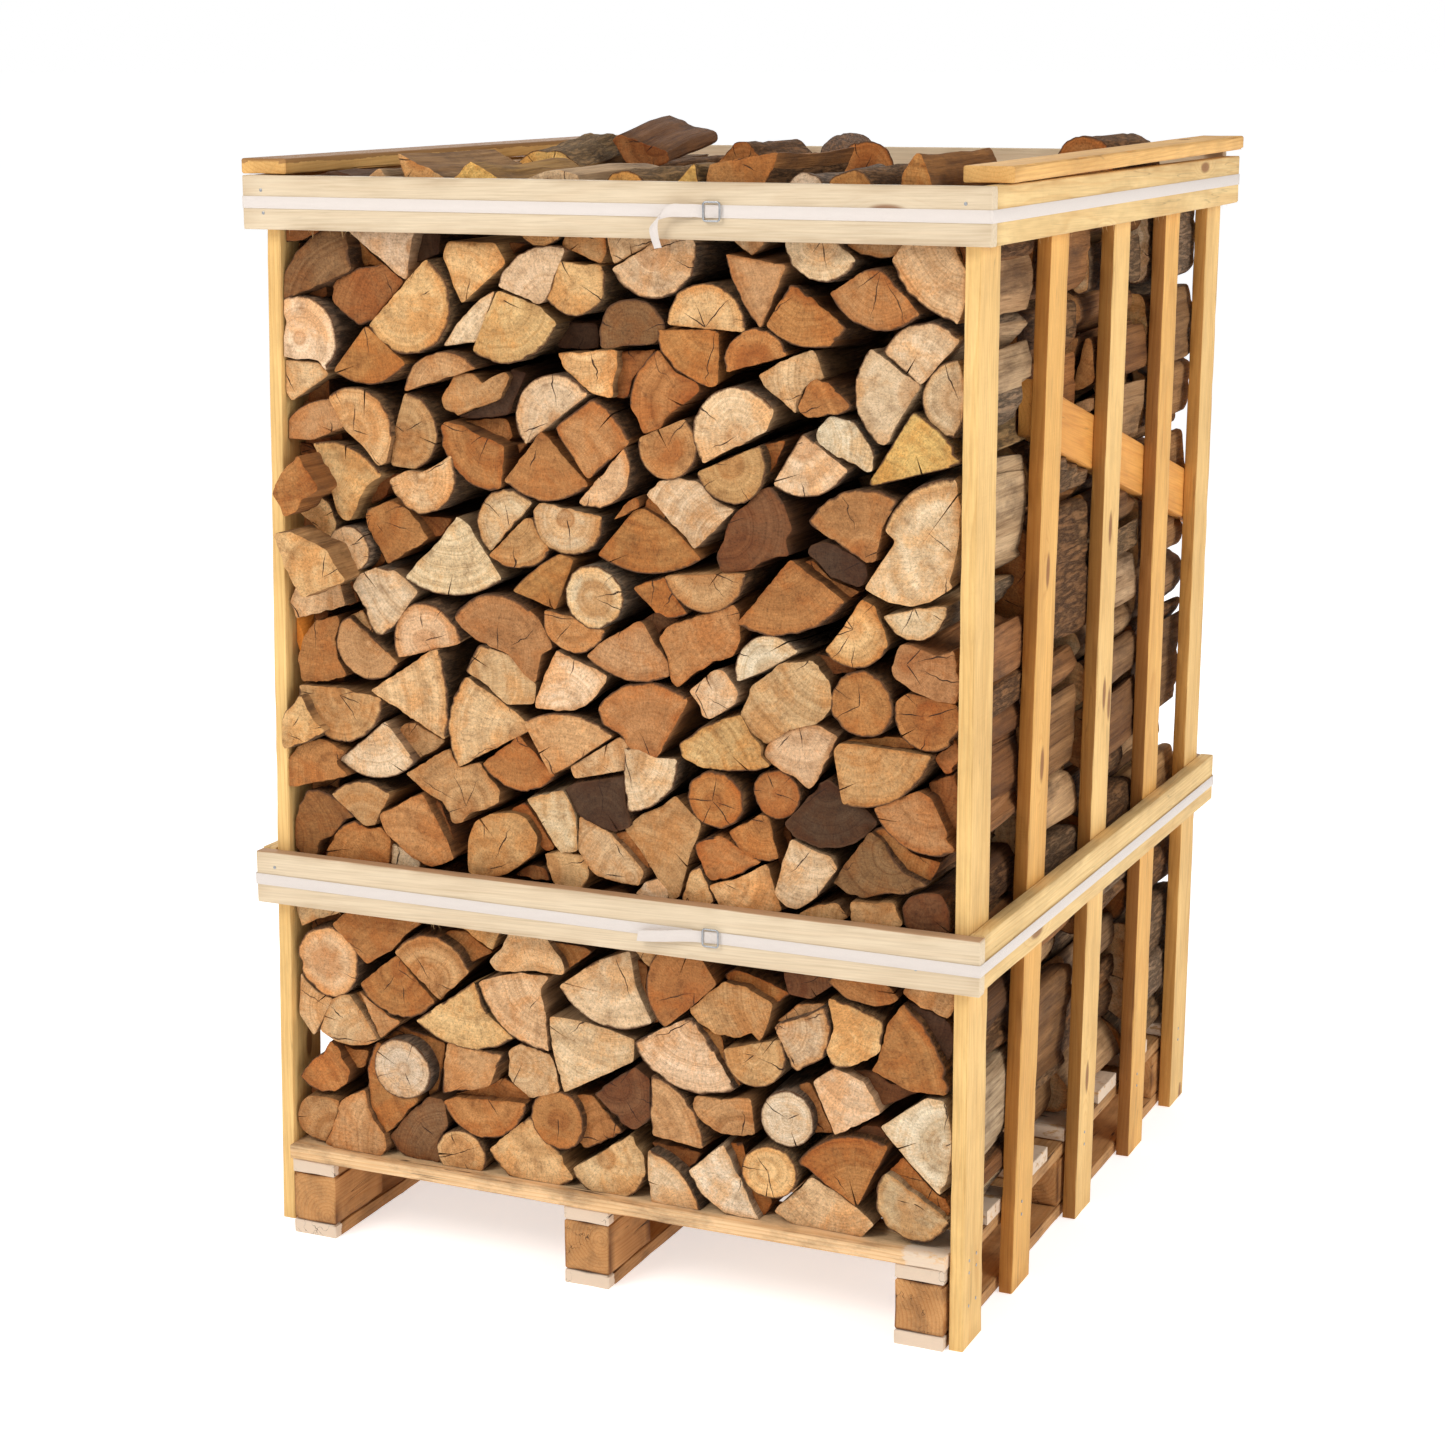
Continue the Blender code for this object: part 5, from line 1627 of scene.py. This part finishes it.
# %% [markdown]
# The straps are flat bands of white cord, stiff enough to stand square at the crate's corners. A strap is a
# thin rectangle carried round the rails: up is upright all the way, and only the free end turns over. Its
# rows say where the middle of the band lies from the buckle, which way is up and how far the edge is.

# %% Strap surface
STRAP_T, STRAP_H, STRAP_R, GAP = 0.0009, 0.017, 0.0025, 0.0004
LAP = 0.012
LAP_END = 0.030
CORDS = 15
WEAVE = 0.0022


def strap_material():
    """Cords side by side along the band: a wave across it, crossed by a finer one along it."""
    s = Shader("corded_band")
    lengthwise, across, _ = s.split(s.read("trace"))
    cords = abs(s.math("SINE", across * (math.pi * CORDS / STRAP_H)))
    weave = s.math("SINE", lengthwise * (2 * math.pi / WEAVE))
    colour = s.mix(s.ramp(cords, (0.0, 0.0), (0.5, 1.0)), linear(198, 188, 182), linear(228, 217, 208))
    return s.finish(colour, 0.42, s.bump(cords + weave * 0.15, 0.5, 0.0006), 0.45)


# %% Strap paths
STRAP_Z = (1.574, 0.569)
BUCKLE_X = (0.1815, 0.1755)
MID_DROP = 0.0105
LOOSE_ENDS = {
    "top": (
        ((-0.074, -0.0150, -0.049), (1, 0, 0.15), 0.0055),
        ((-0.078, -0.0170, -0.034), (1, 0, 0.10), 0.0060),
        ((-0.079, -0.0175, -0.019), (0.9, 0, 0.44), 0.0068),
        ((-0.071, -0.0165, -0.006), (0.5, 0, 0.87), 0.0080),
        ((-0.056, -0.0130, 0.0008), (0.15, 0, 1), 0.0085),
        ((-0.040, -0.0090, 0.001), (0, 0, 1), 0.0085),
        ((-0.026, -0.0055, 0.001), (0, 0, 1), 0.0085),
    ),
    "mid": (
        ((-0.110, -0.0120, -0.008), (0.2, 0, 1), 0.0080),
        ((-0.092, -0.0120, -0.006), (0.15, 0, 1), 0.0085),
        ((-0.070, -0.0105, -0.004), (0.1, 0, 1), 0.0085),
        ((-0.045, -0.0080, -0.001), (0, 0, 1), 0.0085),
        ((-0.026, -0.0050, 0.0), (0, 0, 1), 0.0085),
    ),
}


def strap_plan(left, right, back, buckle_x):
    """From the buckle round the crate anticlockwise and back to the buckle."""
    out = STRAP_T / 2 + GAP
    inset = STRAP_R - out
    layer = STRAP_T + GAP
    start = [(buckle_x - LAP, FRONT - out - 2 * layer), (buckle_x + LAP, FRONT - out)]
    round_crate = round_corners((left + inset, FRONT + inset), (right - inset, back - inset), STRAP_R, 5)
    return np.concatenate([start, round_crate, [(buckle_x - LAP_END, FRONT - out)]])


def smooth_path(rows, parts):
    """Points between rows on a curve through all of them (each stretch a cubic with shared slopes)."""
    rows = np.asarray(rows, float)
    slopes = np.gradient(rows, axis=0)
    t = (np.arange(parts) / parts)[:, None, None]
    a, b = rows[:-1][None], rows[1:][None]
    m, n = slopes[:-1][None], slopes[1:][None]
    curve = (2 * t**3 - 3 * t**2 + 1) * a + (3 * t**2 - 2 * t**3) * b
    curve = curve + (t**3 - 2 * t**2 + t) * m + (t**3 - t**2) * n
    return np.concatenate([curve.transpose(1, 0, 2).reshape(-1, rows.shape[1]), rows[-1:]])


# %% Straps
STRAP = strap_material()
BAND = np.array([(-1, -0.9), (0, -1.0), (1, -0.9), (1, 0.9), (0, 1.0), (-1, 0.9)])


def strap(name, left, right, back, buckle_x, z, drop):
    """The band as rings of six points: the path's point, plus thickness sideways and height along up."""
    tail = [(buckle_x + x, FRONT + y, z + h, *up, half) for (x, y, h), up, half in LOOSE_ENDS[name]]
    loop = strap_plan(left, right, back, buckle_x)
    heights = z - drop * (loop[:, 1] - FRONT) / (back - FRONT)
    path = np.concatenate([smooth_path(tail, 5), spread(*loop.T, heights, 0.0, 0.0, 1.0, STRAP_H / 2)])
    centre, up, half = path[:, :3], path[:, 3:6], path[:, 6:]
    up = up / np.linalg.norm(up, axis=1)[:, None]
    side = np.cross(np.gradient(centre, axis=0), up)
    side = side / np.linalg.norm(side, axis=1)[:, None]
    thick, high = BAND[:, :1] * STRAP_T / 2, BAND[:, 1:] * half[:, None]
    rings = centre[:, None] + side[:, None] * thick + up[:, None] * high
    run = np.concatenate([[0], np.cumsum(np.linalg.norm(np.diff(centre, axis=0), axis=1))])
    trace = spread(run[:, None], BAND[:, 1] * STRAP_H / 2, 0.0).reshape(-1, 3)
    pile = Pile()
    pile.add(rings, (0.9, 0.9, 0.9), 0.0, np.concatenate([trace, spread(run[[0, -1]], 0.0, 0.0)]))
    own(pile.build(f"strap_{name}_band", [STRAP], 60.0), "strap_plastic", f"strap_{name}")
    print("strap", name, "runs", round(float(run[-1]), 2), "m")


rail_top, rail_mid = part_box("rail_front_top"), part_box("rail_front_mid")
back_top, back_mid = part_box("rail_back_top")[1].y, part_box("rail_back_mid")[1].y
strap("top", rail_top[0].x, rail_top[1].x, back_top, BUCKLE_X[0], STRAP_Z[0], 0.0)
strap("mid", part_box("rail_left_mid")[0].x, rail_mid[1].x, back_mid, BUCKLE_X[1], STRAP_Z[1], MID_DROP)

# %% [markdown]
# The buckles are bent from round galvanised wire, and the nails are wire nails whose heads sit just proud of
# the wood. A nail head is a low dome: rings that shrink as they rise, round a short neck.


# %% Metal
def wire_material():
    s = Shader("zinc_wire")
    spangle = s.noise(s.outputs("ShaderNodeTexCoord", {})["Object"], 420.0, 3.0)
    s.surface.inputs["Metallic"].default_value = 0.9
    colour = s.mix(spangle, linear(120, 122, 126), linear(196, 198, 200))
    return s.finish(colour, 0.38, s.bump(spangle, 0.2, 0.0004), 0.5)


WIRE = wire_material()
WIRE_R = 0.0014
BUCKLE = (0.024, 0.025)
BEND = 0.004
AROUND = 14


def buckle(node, x, z):
    """A round wire along a rounded square: the path's point, plus a small circle across the path."""
    y = FRONT - 3 * STRAP_T - 2 * GAP - WIRE_R - 0.0004
    half = np.array(BUCKLE) / 2 - BEND
    path = round_corners(-half, half, BEND, 6)
    way = np.roll(path, -1, axis=0) - np.roll(path, 1, axis=0)
    out = spread(way[:, 1], -way[:, 0]) / np.linalg.norm(way, axis=1)[:, None]
    angles = 2 * np.pi * np.arange(AROUND) / AROUND
    flat = path[:, None] + out[:, None] * (np.cos(angles) * WIRE_R)[None, :, None]
    points = spread(x + flat[..., 0], y + np.sin(angles) * WIRE_R, z + flat[..., 1])
    ring = np.arange(AROUND)
    after = (ring + 1) % AROUND
    row = np.arange(len(path))[:, None]
    here, there = row * AROUND, (row + 1) % len(path) * AROUND
    quads = spread(here + ring, here + after, there + after, there + ring)
    mesh = bpy.data.meshes.new(node + "_wire")
    mesh.from_pydata(points.reshape(-1, 3).tolist(), [], quads.reshape(-1, 4).tolist())
    mesh.materials.append(WIRE)
    mesh.shade_smooth()
    own(show(node + "_wire", mesh), "wire", node)


buckle("buckle_top", BUCKLE_X[0], STRAP_Z[0])
buckle("buckle_mid", BUCKLE_X[1], STRAP_Z[1])
print("buckles of wire", 2 * WIRE_R * 1000, "mm thick")

# %% Nails
NAIL_R, NAIL_RISE = 0.0024, 0.0007
NAIL_RINGS = np.array([(1.0, -1.0), (1.0, 0.35), (0.8, 0.8), (0.4, 1.0)])
NAIL_AROUND = 12
FRONT_NAILS = (
    (2.6, 158.0), (4.5, 159.1), (4.8, 155.9), (110.5, 159.0), (110.5, 157.0), (111.6, 157.0),
    (1.3, 57.0), (2.4, 58.9), (106.5, 57.5), (109.5, 57.5), (105.0, 56.1),
)
SLAT_FEET = (0.236, 0.544, 0.834, 1.086)
POST_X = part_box("slat_right_1")[1].x


def nail_heads():
    """All heads as one piece: a low dome at each place, facing the front or the right."""
    on_front = [(ZERO_X + u * 0.01, v * 0.01, True) for u, v in FRONT_NAILS]
    on_side = [(FRONT + y, z, False) for y in (0.045, 0.075) for z in (0.062, 0.112, 0.130)]
    on_side += [(FRONT + foot + 0.040, z, False) for foot in SLAT_FEET for z in (0.112, 0.132)]
    angles = 2 * np.pi * np.arange(NAIL_AROUND) / NAIL_AROUND
    wide, rise = NAIL_RINGS[:, :1] * NAIL_R, NAIL_RINGS[:, 1:] * NAIL_RISE
    a, b = wide * np.cos(angles), wide * np.sin(angles)
    pile = Pile()
    for first, up, front in on_front + on_side:
        if front:
            rings = spread(first + a, FRONT - rise, up + b)
        else:
            rings = spread(POST_X + rise, first + a, up + b)
        pile.add(rings[::-1], (0.3, 0.3, 0.3))
    own(pile.build("nails", [WIRE]), "wire")
    print("nails", len(on_front) + len(on_side))


nail_heads()

# %% [markdown]
# Where the saw left the boards rough, pale fibres hang from the edges. Each is a three-sided sliver that
# bends down and narrows to a point.

# %% Splinters
SLIVER = 0.00045
SLIVER_TONE = (222, 190, 140)
SLIVER_LONG = (0.005, 0.016)
PER_SLAT = 9
UNDER_TOP = (-0.53, -0.36, 16)
UNDER_MID = (-0.53, -0.20, 12)


def splinter_roots(rng):
    """Places under the rails where slivers hang, each with whether it hangs on the front."""
    under_top, under_mid = rail_top[0].z, rail_mid[0].z
    for i in range(1, 6):
        low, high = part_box(f"slat_right_{i}")
        for _ in range(PER_SLAT):
            yield low.x + 0.025, rng.uniform(low.y - 0.02, high.y + 0.02), under_top, False
    for x in rng.uniform(*UNDER_TOP):
        yield x, FRONT + 0.012, under_top, True
    for x in rng.uniform(*UNDER_MID):
        yield x, FRONT + 0.010, under_mid, True


def splinters():
    """A sliver's line is its root, less its length times t, plus a step aside that grows as t ** 1.5."""
    rng = np.random.default_rng(77)
    pile = Pile()
    roots = list(splinter_roots(rng))
    t = np.linspace(0, 1, 5)[:, None]
    turn = 2 * np.pi * np.arange(3) / 3
    for x, y, z, front in roots:
        long = rng.uniform(*SLIVER_LONG)
        out = rng.uniform(-0.3, 0.9) * long
        side = rng.normal() * 0.5 * long
        step = np.array([side, -out, 0]) if front else np.array([out * 0.4, side, 0])
        line = np.array([x, y, z + 0.002]) + step * t**1.5 + np.array([0, 0, -long]) * t
        wide = SLIVER * (1.02 - t)
        rings = line[:, None] + spread(np.cos(turn) * wide, np.sin(turn) * wide, 0.0)
        pile.add(rings, linear(*SLIVER_TONE))
    own(pile.build("splinters", [SOFTWOOD]), "softwood")
    print("splinters", len(roots))


splinters()

# %% [markdown]
# The floor is a plain pale plane that glows a little, so it stays near white right to the horizon while the
# crate's shadow still falls on it. It is not part of the crate.

# %% Floor
FLOOR = 300.0
FLOOR_GLOW = {"Emission Color": (0.99, 0.99, 1.0, 1.0), "Emission Strength": 0.56}
floor_corners = [(-FLOOR, -FLOOR, 0), (FLOOR, -FLOOR, 0), (FLOOR, FLOOR, 0), (-FLOOR, FLOOR, 0)]
floor_mesh = bpy.data.meshes.new("floor")
floor_mesh.from_pydata(floor_corners, [], [(0, 1, 2, 3)])
floor_shader = Shader("floor")
for socket, value in FLOOR_GLOW.items():
    floor_shader.put(floor_shader.surface.inputs[socket], value)
floor_mesh.materials.append(floor_shader.finish((0.90, 0.91, 0.93, 1.0), 0.9, None, 0.0))
floor = show("floor", floor_mesh)

# %% [markdown]
# Last, the size of the frame is written out. The looks may take away from a solid but never reach past it.

# %% Size of the frame
print("frame box", [round(v, 4) for v in (*cad_low, *cad_high)])
